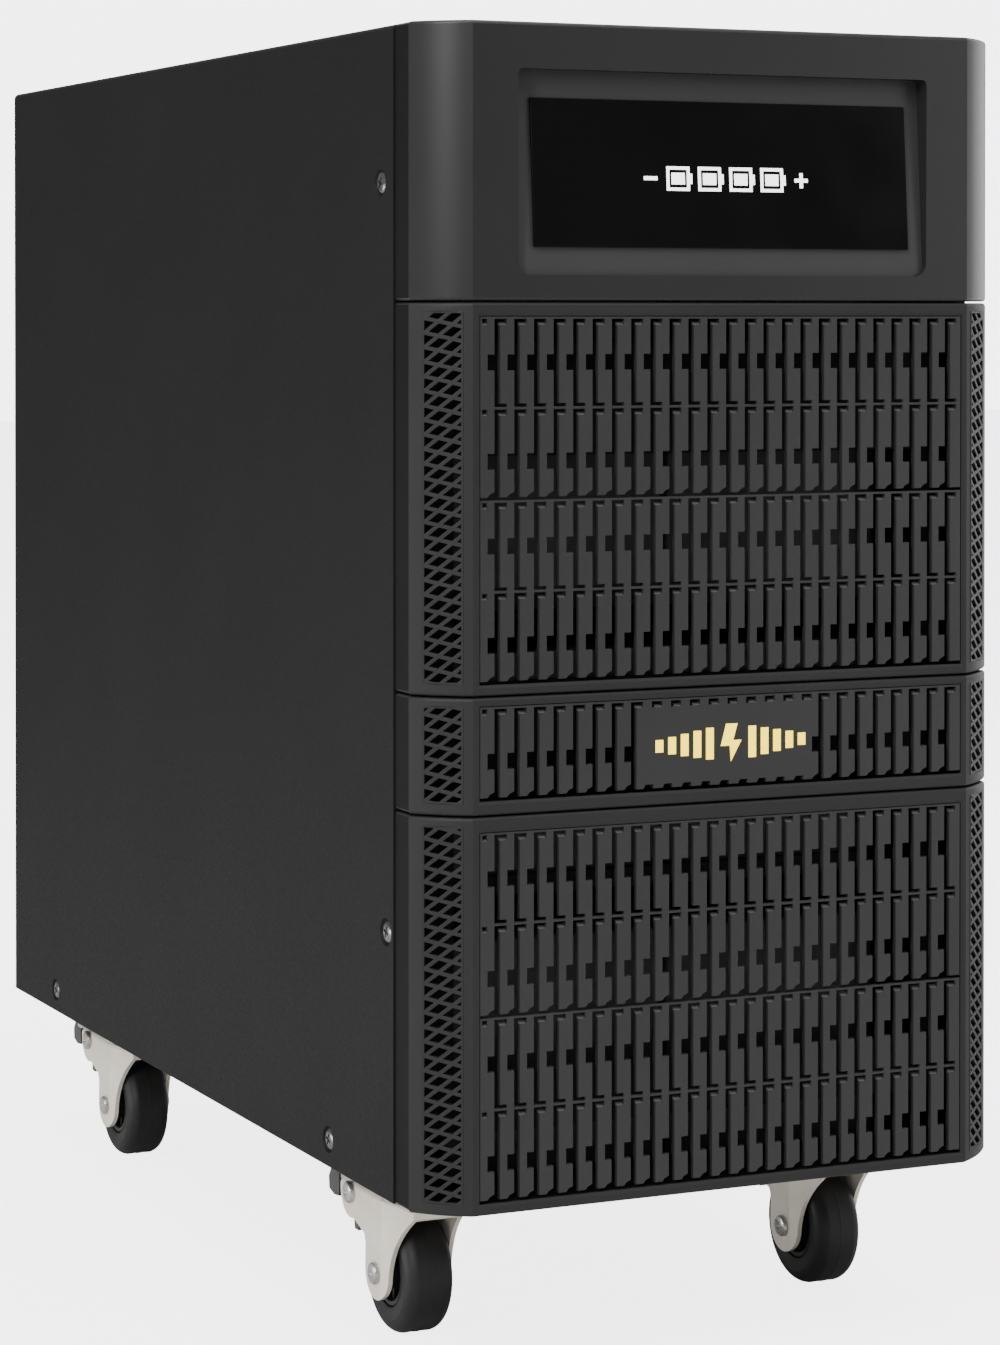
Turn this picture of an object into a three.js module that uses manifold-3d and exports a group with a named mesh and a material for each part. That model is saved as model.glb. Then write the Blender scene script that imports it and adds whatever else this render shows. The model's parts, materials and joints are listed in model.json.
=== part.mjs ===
// A tower battery cabinet on four swivel casters, in millimetres, +Z up, front face towards -Y.
// The origin is the centre of the footprint, on the floor under the wheels.
import * as THREE from 'three';
import { mergeVertices } from 'three/addons/utils/BufferGeometryUtils.js';
import Module from 'manifold-3d';

const wasm = await Module();
wasm.setup();

// Driving dimensions.
const WIDTH = 260;
const DEPTH = 530;
const BODY_HEIGHT = 460;
const CASTER_HEIGHT = 70;
const GAP = 0.3;
const SHEET = 1.5;

// Levels and planes that follow from them.
const BOTTOM = CASTER_HEIGHT;
const TOP = CASTER_HEIGHT + BODY_HEIGHT;
const FRONT = -DEPTH / 2;
const REAR = DEPTH / 2;

// Front bezel, four mouldings stacked from the top down.
const BEZEL_DEPTH = 32;
const BEZEL_WALL = 2.5;
const BEZEL_FLAT_WIDTH = 221;
const CORNER_DEPTH = 17;
const CORNER_BULGE = 2;
const CORNER_STEPS = 4;
const SEAM = 0.6;
const TOP_BEZEL_HEIGHT = 108;
const UPPER_GRILLE_HEIGHT = 152;
const BADGE_STRIP_HEIGHT = 46;
const BEZEL_BACK = FRONT + BEZEL_DEPTH;

// Display window in the top bezel: a pocket with a floor that faces slightly up.
const POCKET = { width: 183, height: 79.7, below_top: 18, top_depth: 7.5, bottom_depth: 2.2 };
const WINDOW = { width: 167.6, height: 58, thickness: 1.2 };

// Vent slots of the grilles.
const SLOT_PITCH = 8.4;
const SLOT_WIDTH = 2.2;
const SLAT_WIDTH = SLOT_PITCH - SLOT_WIDTH;
const SLOT_COUNT = 25;
const FIELD_LEFT = -BEZEL_FLAT_WIDTH / 2 + 3.3;
const GRILLE_MARGIN = 6;
const BADGE_MARGIN = 5.4;
const BADGE_BLANK = { left: -40, right: 41.8 };

// Sheet steel cabinet.
const COVER_INSIDE = WIDTH / 2 - SHEET;
const REAR_RECESS = 20;
const REAR_PANEL_FACE = REAR - REAR_RECESS;
const TRAY_FLANGE = 24;
const FRAME_FLANGE = 10;

// Battery blocks, two wide and two deep on each of four tiers.
const TIERS = 4;
const BLOCK = { width: 98, depth: 151, height: 95, terminal: 6 };
const BLOCK_X = 50;
const BLOCK_ROWS_Y = [-135, 18];
const BLOCK_TERMINAL = { width: 8, depth: 6, inset_x: 14, inset_y: 8 };
const SHELF_LIP = 8;
const TIER_PITCH = (BODY_HEIGHT - 2 * SHEET) / TIERS;

// Casters.
const KINGPIN_X = 95;
const FRONT_KINGPIN_Y = -182;
const REAR_KINGPIN_Y = 164;
const WHEEL_RADIUS = 25;
const WHEEL_TRAIL = 15;
const RIM_RADIUS = 14.3;
const TREAD_WIDTH = 21;
const FORK_OUTER = 15;
const FORK_SHEET = 2;
const FORK_TOP = 57.5;
const FORK_FRONT = WHEEL_TRAIL - 30;
const FORK_LEG_RADIUS = 11;
const CROWN_THICKNESS = 2.5;
const CROWN_REAR = 22;
const PLATE = { width: 60, depth: 56, thickness: 3 };
const PLATE_TOP = BOTTOM - GAP;
const PLATE_BOTTOM = PLATE_TOP - PLATE.thickness;
const RACE = { cup_radius: 22, cup_height: 4.5, neck_radius: 17 };
const AXLE_RADIUS = 3;
const AXLE_BORE = 3.4;
const RIVET_HEAD = { radius: 4.6, height: 2 };
const KINGPIN_RADIUS = 4.5;
const KINGPIN_HEAD = { radius: 7.5, height: 2.4 };
const PEDAL_PIVOT = { y: WHEEL_TRAIL + 27, z: 52.3 };
const PEDAL_FLARE = 10.7;
const PEDAL_PIN_RADIUS = 2.5;

// Rear hardware on the recessed panel.
const BREAKER = { x: -62, z: 170, width: 36, nose_height: 45, body_height: 85, body_depth: 52, nose_out: 5 };
const LEVER = { barrel_radius: 7.5, width: 28, reach: 17, thickness: 6, rest_angle: 35, slot_height: 20 };
const CONNECTOR = { width: 48, height: 26, depth: 15, cavity_width: 19, cavity_height: 16, cavity_depth: 12 };
const CONNECTOR_PLACES = [{ x: 30, z: 150 }, { x: 30, z: 190 }];
const GROUND_STUD = { x: 90, z: 110 };
const LEAD_RADIUS = 3.5;
const LEAD_STEPS = 24;

// Finishes: colour, roughness and metalness.
const FINISH = {
  powderCoat: { color: 0x2e2e2e, roughness: 0.6, metalness: 0.1 },
  blackPlastic: { color: 0x303030, roughness: 0.55, metalness: 0.0 },
  glossPanel: { color: 0x0c0c0c, roughness: 0.12, metalness: 0.0 },
  zincSteel: { color: 0xdcd7cd, roughness: 0.32, metalness: 0.9 },
  rubber: { color: 0x161616, roughness: 0.75, metalness: 0.0 },
  hubPlastic: { color: 0x1c1c1c, roughness: 0.6, metalness: 0.0 },
  batteryCase: { color: 0x3a3d40, roughness: 0.6, metalness: 0.0 },
  breakerCase: { color: 0xdedcd4, roughness: 0.5, metalness: 0.0 },
  leverPlastic: { color: 0x202020, roughness: 0.45, metalness: 0.0 },
  brass: { color: 0xc9a44a, roughness: 0.35, metalness: 0.9 },
  redWire: { color: 0xb02020, roughness: 0.5, metalness: 0.0 },
  blackWire: { color: 0x1a1a1a, roughness: 0.5, metalness: 0.0 },
};

const cabinet = new THREE.Group();

// Solid modelling helpers.
function toManifold(geometry) {
  const bare = geometry.clone();
  bare.deleteAttribute('normal');
  bare.deleteAttribute('uv');
  const merged = mergeVertices(bare);
  return new wasm.Manifold(new wasm.Mesh({
    numProp: 3,
    vertProperties: new Float32Array(merged.attributes.position.array),
    triVerts: new Uint32Array(merged.index.array),
  }));
}

function fromManifold(manifold) {
  const mesh = manifold.getMesh();
  const geometry = new THREE.BufferGeometry();
  geometry.setAttribute('position', new THREE.BufferAttribute(mesh.vertProperties, 3));
  geometry.setIndex(new THREE.BufferAttribute(mesh.triVerts, 1));
  geometry.computeVertexNormals();
  return geometry;
}

function join(geometries) {
  return fromManifold(geometries.map(toManifold).reduce((all, next) => all.add(next)));
}

function cut(geometry, tools) {
  const whole = toManifold(geometry);
  return fromManifold(tools.map(toManifold).reduce((rest, tool) => rest.subtract(tool), whole));
}

function block(low, high) {
  const size = high.map((value, axis) => value - low[axis]);
  const middle = high.map((value, axis) => (value + low[axis]) / 2);
  return new THREE.BoxGeometry(...size).translate(...middle);
}

// A plan outline raised from z0 to z1.
function prismUp(shape, z0, z1, curveSegments = 6) {
  const options = { depth: z1 - z0, bevelEnabled: false, curveSegments };
  return new THREE.ExtrudeGeometry(shape, options).translate(0, 0, z0);
}

// A side outline, drawn in Y and Z, carried across from x0 to x1.
function prismAcross(shape, x0, x1, curveSegments = 6) {
  const options = { depth: x1 - x0, bevelEnabled: false, curveSegments };
  const turn = new THREE.Matrix4().makeBasis(
    new THREE.Vector3(0, 1, 0),
    new THREE.Vector3(0, 0, 1),
    new THREE.Vector3(1, 0, 0),
  );
  return new THREE.ExtrudeGeometry(shape, options).applyMatrix4(turn).translate(x0, 0, 0);
}

function discUp(radius, z0, z1, segments = 24) {
  return new THREE.CylinderGeometry(radius, radius, z1 - z0, segments)
    .rotateX(Math.PI / 2)
    .translate(0, 0, (z0 + z1) / 2);
}

function rodAcross(radius, x0, x1, y, z, segments = 16) {
  return new THREE.CylinderGeometry(radius, radius, x1 - x0, segments)
    .rotateZ(Math.PI / 2)
    .translate((x0 + x1) / 2, y, z);
}

function rodBack(radius, y0, y1, x, z, segments = 16) {
  return new THREE.CylinderGeometry(radius, radius, y1 - y0, segments).translate(x, (y0 + y1) / 2, z);
}

// A closed profile of [radius, x] pairs turned round the X axis.
function turnedAcross(profile, segments) {
  const points = [...profile, profile[0]].map(([radius, x]) => new THREE.Vector2(radius, x));
  return new THREE.LatheGeometry(points, segments).rotateZ(-Math.PI / 2);
}

function outline(points) {
  return new THREE.Shape(points.map(([a, b]) => new THREE.Vector2(a, b)));
}

function addPiece(group, name, geometry, finish) {
  const mesh = new THREE.Mesh(geometry, new THREE.MeshStandardMaterial({ ...finish, flatShading: true }));
  mesh.name = name;
  group.add(mesh);
}

// Bezel plan outline, its front and corners moved in by inset and its back at back_y.
function bezelPlan(inset, backY) {
  const half = BEZEL_FLAT_WIDTH / 2 - inset * 0.4;
  const side = WIDTH / 2 - inset;
  const face = FRONT + inset;
  const cornerBack = FRONT + CORNER_DEPTH + inset * 0.4;
  const right = [];
  for (let step = 0; step <= CORNER_STEPS; step += 1) {
    const t = step / CORNER_STEPS;
    const bulge = CORNER_BULGE * Math.sin(Math.PI * t) * Math.SQRT1_2;
    right.push([half + (side - half) * t + bulge, face + (cornerBack - face) * t - bulge]);
  }
  const left = right.map(([x, y]) => [-x, y]).reverse();
  return outline([[-side, backY], ...left, ...right, [side, backY]]);
}

// One moulding: a tray with its mouth at the back, between z0 and z1.
function bezelTray(z0, z1) {
  const outer = prismUp(bezelPlan(0, BEZEL_BACK), z0, z1);
  const inner = prismUp(bezelPlan(BEZEL_WALL, BEZEL_BACK + 1), z0 + BEZEL_WALL, z1 - BEZEL_WALL);
  return cut(outer, [inner]);
}

// The side outline of a slab that lies on the pocket's tilted floor, from one offset to another.
function pocketSlab(centreZ, height, nearOffset, farOffset) {
  const slope = (POCKET.top_depth - POCKET.bottom_depth) / POCKET.height;
  const depthAt = (z) => (POCKET.top_depth + POCKET.bottom_depth) / 2 + slope * (z - centreZ);
  const low = centreZ - height / 2;
  const high = centreZ + height / 2;
  const faceAt = (z, offset) => FRONT + depthAt(z) - offset;
  return outline([
    [faceAt(low, nearOffset), low],
    [faceAt(low, farOffset), low],
    [faceAt(high, farOffset), high],
    [faceAt(high, nearOffset), high],
  ]);
}

function buildTopBezel() {
  const z1 = TOP;
  const z0 = TOP - TOP_BEZEL_HEIGHT + SEAM / 2;
  const pocketTop = TOP - POCKET.below_top;
  const pocketBottom = pocketTop - POCKET.height;
  const centreZ = (pocketTop + pocketBottom) / 2;
  const half = POCKET.width / 2;
  const backing = block(
    [-half - BEZEL_WALL, FRONT + 1, pocketBottom - BEZEL_WALL],
    [half + BEZEL_WALL, FRONT + POCKET.top_depth + BEZEL_WALL, pocketTop + BEZEL_WALL],
  );
  const pocket = prismAcross(pocketSlab(centreZ, POCKET.height, 0, POCKET.top_depth + 3), -half, half);
  addPiece(cabinet, 'top_bezel', cut(join([bezelTray(z0, z1), backing]), [pocket]), FINISH.blackPlastic);
  const pane = pocketSlab(centreZ, WINDOW.height, GAP, GAP + WINDOW.thickness);
  const paneHalf = WINDOW.width / 2;
  addPiece(cabinet, 'window_panel', prismAcross(pane, -paneHalf, paneHalf), FINISH.glossPanel);
}

// Straight slots cut through the face, one band from z0 to z1, leaving out those that are covered.
function slotCutters(z0, z1, isCovered = () => false) {
  const cutters = [];
  for (let index = 0; index < SLOT_COUNT; index += 1) {
    const left = FIELD_LEFT + SLAT_WIDTH + index * SLOT_PITCH;
    if (!isCovered(left, left + SLOT_WIDTH)) {
      cutters.push(block([left, FRONT - 1, z0], [left + SLOT_WIDTH, FRONT + BEZEL_WALL + 1, z1]));
    }
  }
  return cutters;
}

function buildGrille(name, z0, z1) {
  const middle = (z0 + z1) / 2;
  const cutters = [
    ...slotCutters(z0 + GRILLE_MARGIN, middle - 1),
    ...slotCutters(middle + 1, z1 - GRILLE_MARGIN),
  ];
  addPiece(cabinet, name, cut(bezelTray(z0, z1), cutters), FINISH.blackPlastic);
}

// The badge strip keeps a plain blank between its slots for a badge.
function buildBadgeStrip(z0, z1) {
  const isCovered = (left, right) => right > BADGE_BLANK.left && left < BADGE_BLANK.right;
  const cutters = slotCutters(z0 + BADGE_MARGIN, z1 - BADGE_MARGIN, isCovered);
  addPiece(cabinet, 'badge_strip', cut(bezelTray(z0, z1), cutters), FINISH.blackPlastic);
}

function buildBezels() {
  buildTopBezel();
  const upperTop = TOP - TOP_BEZEL_HEIGHT;
  const badgeTop = upperTop - UPPER_GRILLE_HEIGHT;
  const lowerTop = badgeTop - BADGE_STRIP_HEIGHT;
  buildGrille('upper_grille', badgeTop + SEAM / 2, upperTop - SEAM / 2);
  buildBadgeStrip(lowerTop + SEAM / 2, badgeTop - SEAM / 2);
  buildGrille('lower_grille', BOTTOM, lowerTop - SEAM / 2);
}

// Cabinet shell.
function buildCover() {
  const y0 = BEZEL_BACK + GAP;
  const shell = cut(
    block([-WIDTH / 2, y0, BOTTOM], [WIDTH / 2, REAR, TOP]),
    [block([-COVER_INSIDE, y0 - 1, BOTTOM - 1], [COVER_INSIDE, REAR + 1, TOP - SHEET])],
  );
  addPiece(cabinet, 'cover', shell, FINISH.powderCoat);
}

function buildBaseTray() {
  const half = COVER_INSIDE - GAP;
  const y0 = BEZEL_BACK + SHEET + 2 * GAP;
  const y1 = REAR_PANEL_FACE - SHEET - GAP;
  const floor = block([-half, y0, BOTTOM], [half, REAR, BOTTOM + SHEET]);
  const flanges = [-half, half - SHEET].map((x) => block(
    [x, y0, BOTTOM],
    [x + SHEET, y1, BOTTOM + TRAY_FLANGE],
  ));
  addPiece(cabinet, 'base_tray', join([floor, ...flanges]), FINISH.powderCoat);
}

function buildFrontFrame() {
  const half = COVER_INSIDE - GAP;
  const y0 = BEZEL_BACK + GAP;
  const z0 = BOTTOM + TRAY_FLANGE + GAP;
  const z1 = TOP - SHEET - GAP;
  const body = block([-half, y0, z0], [half, y0 + FRAME_FLANGE, z1]);
  const hollow = block(
    [-half + SHEET, y0 + SHEET, z0 + SHEET],
    [half - SHEET, y0 + FRAME_FLANGE + 1, z1 - SHEET],
  );
  const windows = [];
  const windowCount = 3;
  const pitch = (z1 - z0) / windowCount;
  for (let index = 0; index < windowCount; index += 1) {
    const middle = z0 + pitch * (index + 0.5);
    windows.push(block([-half + 24, y0 - 1, middle - 50], [half - 24, y0 + SHEET + 1, middle + 50]));
  }
  addPiece(cabinet, 'front_frame', cut(body, [hollow, ...windows]), FINISH.powderCoat);
}

function buildRearPanel() {
  const half = COVER_INSIDE - GAP;
  const z0 = BOTTOM + SHEET + GAP;
  const z1 = TOP - SHEET - GAP;
  const inner = REAR_PANEL_FACE - SHEET;
  const through = (x0, x1, low, high) => block([x0, inner - 1, low], [x1, REAR_PANEL_FACE + 1, high]);
  const cutters = [
    through(
      BREAKER.x - BREAKER.width / 2 - GAP,
      BREAKER.x + BREAKER.width / 2 + GAP,
      BREAKER.z - BREAKER.nose_height / 2 - GAP,
      BREAKER.z + BREAKER.nose_height / 2 + GAP,
    ),
    rodBack(3, inner - 1, REAR_PANEL_FACE + 1, GROUND_STUD.x, GROUND_STUD.z),
  ];
  const ventRows = 7;
  for (let row = 0; row < ventRows; row += 1) {
    const z = TOP - 60 - row * 14;
    cutters.push(through(-95, -15, z, z + 5));
    cutters.push(through(15, 95, z, z + 5));
  }
  const sheet = block([-half, inner, z0], [half, REAR_PANEL_FACE, z1]);
  addPiece(cabinet, 'rear_panel', cut(sheet, cutters), FINISH.powderCoat);
}

// Battery stack.
function buildShelf(name, z) {
  const half = COVER_INSIDE - GAP;
  const y0 = BLOCK_ROWS_Y[0] - BLOCK.depth / 2 - 3;
  const y1 = BLOCK_ROWS_Y[1] + BLOCK.depth / 2 + 3;
  const deck = block([-half, y0, z], [half, y1, z + SHEET]);
  const flanges = [-1, 1].map((side) => block(
    [side < 0 ? -half : half - SHEET, y0, z - SHELF_LIP],
    [side < 0 ? -half + SHEET : half, y1, z + SHEET],
  ));
  const lip = block([-half, y0, z], [half, y0 + SHEET, z + SHELF_LIP]);
  addPiece(cabinet, name, join([deck, ...flanges, lip]), FINISH.powderCoat);
}

function buildBatteryBlock(name, x, y, z) {
  const halfWidth = BLOCK.width / 2;
  const halfDepth = BLOCK.depth / 2;
  const lidTop = z + BLOCK.height;
  const pieces = [block([x - halfWidth, y - halfDepth, z], [x + halfWidth, y + halfDepth, lidTop])];
  for (const side of [-1, 1]) {
    const middleX = x + side * (halfWidth - BLOCK_TERMINAL.inset_x);
    const backY = y + halfDepth - BLOCK_TERMINAL.inset_y;
    pieces.push(block(
      [middleX - BLOCK_TERMINAL.width / 2, backY - BLOCK_TERMINAL.depth, lidTop - 1],
      [middleX + BLOCK_TERMINAL.width / 2, backY, lidTop + BLOCK.terminal],
    ));
  }
  addPiece(cabinet, name, join(pieces), FINISH.batteryCase);
}

function tierFloor(tier) {
  return BOTTOM + SHEET + tier * TIER_PITCH;
}

function buildBatteryStack() {
  let number = 1;
  for (let tier = 0; tier < TIERS; tier += 1) {
    if (tier > 0) {
      buildShelf(`shelf_${tier}`, tierFloor(tier) - SHEET);
    }
    for (const y of BLOCK_ROWS_Y) {
      for (const x of [-BLOCK_X, BLOCK_X]) {
        buildBatteryBlock(`battery_block_${String(number).padStart(2, '0')}`, x, y, tierFloor(tier) + GAP);
        number += 1;
      }
    }
  }
}

// An upright channel behind the stack that stops the blocks from sliding back.
function buildBatteryRetainer() {
  const y0 = BLOCK_ROWS_Y[1] + BLOCK.depth / 2 + 3 + GAP;
  const half = 26;
  const web = block([-half, y0, BOTTOM + SHEET + GAP], [half, y0 + SHEET, TOP - SHEET - GAP]);
  const ribs = [-half, half - SHEET].map((x) => block(
    [x, y0, BOTTOM + SHEET + GAP],
    [x + SHEET, y0 + 14, TOP - SHEET - GAP],
  ));
  addPiece(cabinet, 'battery_retainer', join([web, ...ribs]), FINISH.zincSteel);
}

// Main leads, from the rear terminals of the top tier to the back of the breaker.
function buildLead(name, startX, endX, finish) {
  const lidTop = tierFloor(TIERS - 1) + GAP + BLOCK.height;
  const startY = BLOCK_ROWS_Y[1] + BLOCK.depth / 2 - BLOCK_TERMINAL.inset_y + GAP;
  const endY = REAR_PANEL_FACE - SHEET - BREAKER.body_depth - GAP;
  const high = lidTop + LEAD_RADIUS + 1;
  const route = new THREE.CatmullRomCurve3([
    new THREE.Vector3(startX, startY, high),
    new THREE.Vector3(startX, startY + 24, high),
    new THREE.Vector3(startX, startY + 46, high - 30),
    new THREE.Vector3((startX + endX) / 2, startY + 52, 330),
    new THREE.Vector3(endX, endY - 34, BREAKER.z + 52),
    new THREE.Vector3(endX, endY - 16, BREAKER.z + 20),
    new THREE.Vector3(endX, endY - 8, BREAKER.z + 18),
    new THREE.Vector3(endX, endY - GAP, BREAKER.z + 18),
  ]);
  const section = new THREE.Shape().absarc(0, 0, LEAD_RADIUS, 0, 2 * Math.PI);
  const options = { steps: LEAD_STEPS, curveSegments: 4, extrudePath: route, bevelEnabled: false };
  addPiece(cabinet, name, new THREE.ExtrudeGeometry(section, options), finish);
}

// Rear hardware.
function buildBreaker() {
  const inner = REAR_PANEL_FACE - SHEET;
  const halfWidth = BREAKER.width / 2;
  const face = REAR_PANEL_FACE + BREAKER.nose_out;
  const body = block(
    [BREAKER.x - halfWidth, inner - BREAKER.body_depth, BREAKER.z - BREAKER.body_height / 2],
    [BREAKER.x + halfWidth, inner - GAP, BREAKER.z + BREAKER.body_height / 2],
  );
  const nose = block(
    [BREAKER.x - halfWidth, inner - 2, BREAKER.z - BREAKER.nose_height / 2],
    [BREAKER.x + halfWidth, face, BREAKER.z + BREAKER.nose_height / 2],
  );
  const slot = block(
    [BREAKER.x - LEVER.width / 2 - 1, face - 15, BREAKER.z - LEVER.slot_height / 2],
    [BREAKER.x + LEVER.width / 2 + 1, face + 1, BREAKER.z + LEVER.slot_height / 2],
  );
  addPiece(cabinet, 'breaker_body', cut(join([body, nose]), [slot]), FINISH.breakerCase);
}

function buildBreakerLever() {
  const lever = new THREE.Group();
  lever.position.set(BREAKER.x, REAR_PANEL_FACE - 1, BREAKER.z);
  lever.rotation.x = THREE.MathUtils.degToRad(-LEVER.rest_angle);
  const half = LEVER.width / 2;
  const barrel = rodAcross(LEVER.barrel_radius, -half, half, 0, 0, 20);
  const handle = block([-half, 0, -LEVER.thickness / 2], [half, LEVER.reach, LEVER.thickness / 2]);
  addPiece(lever, 'breaker_lever', join([barrel, handle]), FINISH.leverPlastic);
  cabinet.add(lever);
}

function buildConnector(name, place) {
  const y0 = REAR_PANEL_FACE + GAP;
  const y1 = y0 + CONNECTOR.depth;
  const halfWidth = CONNECTOR.width / 2;
  const halfHeight = CONNECTOR.height / 2;
  const shell = block(
    [place.x - halfWidth, y0, place.z - halfHeight],
    [place.x + halfWidth, y1, place.z + halfHeight],
  );
  const cavityHalf = CONNECTOR.cavity_width / 2;
  const cavities = [-1, 1].map((side) => {
    const middle = place.x + side * (cavityHalf + 1.5);
    return block(
      [middle - cavityHalf, y1 - CONNECTOR.cavity_depth, place.z - CONNECTOR.cavity_height / 2],
      [middle + cavityHalf, y1 + 1, place.z + CONNECTOR.cavity_height / 2],
    );
  });
  addPiece(cabinet, name, cut(shell, cavities), FINISH.leverPlastic);
}

function buildGroundStud() {
  const { x, z } = GROUND_STUD;
  const shank = rodBack(2.5, REAR_PANEL_FACE - 8, REAR_PANEL_FACE + 14, x, z, 12);
  const nut = rodBack(4.6, REAR_PANEL_FACE + 1.5, REAR_PANEL_FACE + 5.5, x, z, 6);
  const washer = rodBack(5.6, REAR_PANEL_FACE + GAP, REAR_PANEL_FACE + 1.6, x, z, 16);
  addPiece(cabinet, 'ground_stud', join([shank, nut, washer]), FINISH.brass);
}

// Casters. Each is built about its kingpin, with the floor at z = 0 and the wheel trailing towards +Y.
// One side of the fork: a round foot at the axle, a front edge that sweeps forward to the crown, and a
// round ear behind that carries the brake pedal.
function forkSide() {
  const side = new THREE.Shape();
  const earTop = Math.asin((FORK_TOP - PEDAL_PIVOT.z) / PEDAL_FLARE);
  side.moveTo(WHEEL_TRAIL - FORK_LEG_RADIUS, WHEEL_RADIUS);
  side.quadraticCurveTo(WHEEL_TRAIL - 13, 41, FORK_FRONT, 53);
  side.lineTo(FORK_FRONT, FORK_TOP);
  side.absarc(PEDAL_PIVOT.y, PEDAL_PIVOT.z, PEDAL_FLARE, earTop, -1.9, true);
  side.lineTo(WHEEL_TRAIL + 12, 38.5);
  side.lineTo(WHEEL_TRAIL + 10.6, 35);
  side.absarc(WHEEL_TRAIL, WHEEL_RADIUS, FORK_LEG_RADIUS, 0, -Math.PI, true);
  return side;
}

function buildFork(group, name) {
  const legs = [-FORK_OUTER, FORK_OUTER - FORK_SHEET];
  const sides = legs.map((x) => prismAcross(forkSide(), x, x + FORK_SHEET, 5));
  const crownBottom = FORK_TOP - CROWN_THICKNESS;
  const crown = block([-FORK_OUTER, FORK_FRONT, crownBottom], [FORK_OUTER, CROWN_REAR, FORK_TOP]);
  const bores = [
    discUp(KINGPIN_RADIUS + 0.4, crownBottom - 1, FORK_TOP + 1, 20),
    rodAcross(AXLE_BORE, -20, 20, WHEEL_TRAIL, WHEEL_RADIUS, 14),
    rodAcross(PEDAL_PIN_RADIUS + 0.4, -20, 20, PEDAL_PIVOT.y, PEDAL_PIVOT.z, 14),
  ];
  addPiece(group, name, cut(join([...sides, crown]), bores), FINISH.zincSteel);
}

function buildPlate(group, name) {
  const halfWidth = PLATE.width / 2;
  const halfDepth = PLATE.depth / 2;
  const headTop = FORK_TOP - CROWN_THICKNESS - GAP;
  addPiece(group, name, join([
    block([-halfWidth, -halfDepth, PLATE_BOTTOM], [halfWidth, halfDepth, PLATE_TOP]),
    discUp(RACE.cup_radius, PLATE_BOTTOM - RACE.cup_height, PLATE_BOTTOM + 1, 28),
    discUp(RACE.neck_radius, FORK_TOP + GAP, PLATE_BOTTOM + 1, 28),
    discUp(KINGPIN_RADIUS, headTop - 1, PLATE_BOTTOM + 1, 20),
    discUp(KINGPIN_HEAD.radius, headTop - KINGPIN_HEAD.height, headTop, 20),
  ]), FINISH.zincSteel);
}

function buildWheel(group, prefix) {
  const half = TREAD_WIDTH / 2;
  const wheel = new THREE.Group();
  wheel.position.set(0, WHEEL_TRAIL, WHEEL_RADIUS);
  const tyre = turnedAcross([
    [RIM_RADIUS, -half + 0.8],
    [WHEEL_RADIUS - 3, -half],
    [WHEEL_RADIUS - 0.9, -half + 2],
    [WHEEL_RADIUS, -half + 6],
    [WHEEL_RADIUS, half - 6],
    [WHEEL_RADIUS - 0.9, half - 2],
    [WHEEL_RADIUS - 3, half],
    [RIM_RADIUS, half - 0.8],
  ], 30);
  const rim = RIM_RADIUS - GAP;
  const hub = turnedAcross([
    [AXLE_BORE, -half - 1],
    [7, -half - 1],
    [7, -4],
    [rim - 2.5, -4],
    [rim - 2.5, -half + 1],
    [rim, -half + 1],
    [rim, half - 1],
    [rim - 2.5, half - 1],
    [rim - 2.5, 4],
    [7, 4],
    [7, half + 1],
    [AXLE_BORE, half + 1],
  ], 20);
  addPiece(wheel, `${prefix}_tyre`, tyre, FINISH.rubber);
  addPiece(wheel, `${prefix}_hub`, hub, FINISH.hubPlastic);
  group.add(wheel);
}

function buildAxleRivet(group, name) {
  const head = FORK_OUTER + GAP;
  const tip = head + RIVET_HEAD.height;
  addPiece(group, name, join([
    rodAcross(AXLE_RADIUS, -head - 1, head + 1, WHEEL_TRAIL, WHEEL_RADIUS, 12),
    rodAcross(RIVET_HEAD.radius, -tip, -head, WHEEL_TRAIL, WHEEL_RADIUS, 14),
    rodAcross(RIVET_HEAD.radius, head, tip, WHEEL_TRAIL, WHEEL_RADIUS, 14),
  ]), FINISH.zincSteel);
}

// The pedal, drawn about its pivot: an arm between the fork's ears, a tread behind them and a shoe that
// comes down on the tyre. Its pivot pin is part of it.
function buildBrakePedal(group, name) {
  const pedal = new THREE.Group();
  pedal.position.set(0, PEDAL_PIVOT.y, PEDAL_PIVOT.z);
  const insideHalf = FORK_OUTER - FORK_SHEET - 0.6;
  const head = FORK_OUTER + GAP;
  const tip = head + RIVET_HEAD.height;
  const arm = outline([
    [-14, 8],
    [14, 8.2],
    [14, -4.5],
    [6, -5.5],
    [3, -9],
    [1.5, -15.8],
    [-2.5, -15.8],
    [-4.5, -10],
    [-6, -3],
    [-14, 5.5],
  ]);
  const tread = outline([
    [12.5, 8.2],
    [16, 8.2],
    [21, 6],
    [24, 1.7],
    [23.5, -3.3],
    [18, -5],
    [12.5, -4.5],
  ]);
  addPiece(pedal, name, join([
    prismAcross(arm, -insideHalf, insideHalf),
    prismAcross(tread, -FORK_OUTER, FORK_OUTER),
    rodAcross(PEDAL_PIN_RADIUS, -head - 1, head + 1, 0, 0, 12),
    rodAcross(RIVET_HEAD.radius, -tip, -head, 0, 0, 14),
    rodAcross(RIVET_HEAD.radius, head, tip, 0, 0, 14),
  ]), FINISH.hubPlastic);
  group.add(pedal);
}

function buildCaster(place, x, y) {
  const caster = new THREE.Group();
  caster.position.set(x, y, 0);
  buildPlate(caster, `caster_${place}_plate`);
  buildFork(caster, `caster_${place}_fork`);
  buildAxleRivet(caster, `caster_${place}_axle`);
  buildWheel(caster, `caster_${place}`);
  buildBrakePedal(caster, `caster_${place}_pedal`);
  cabinet.add(caster);
}

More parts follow.
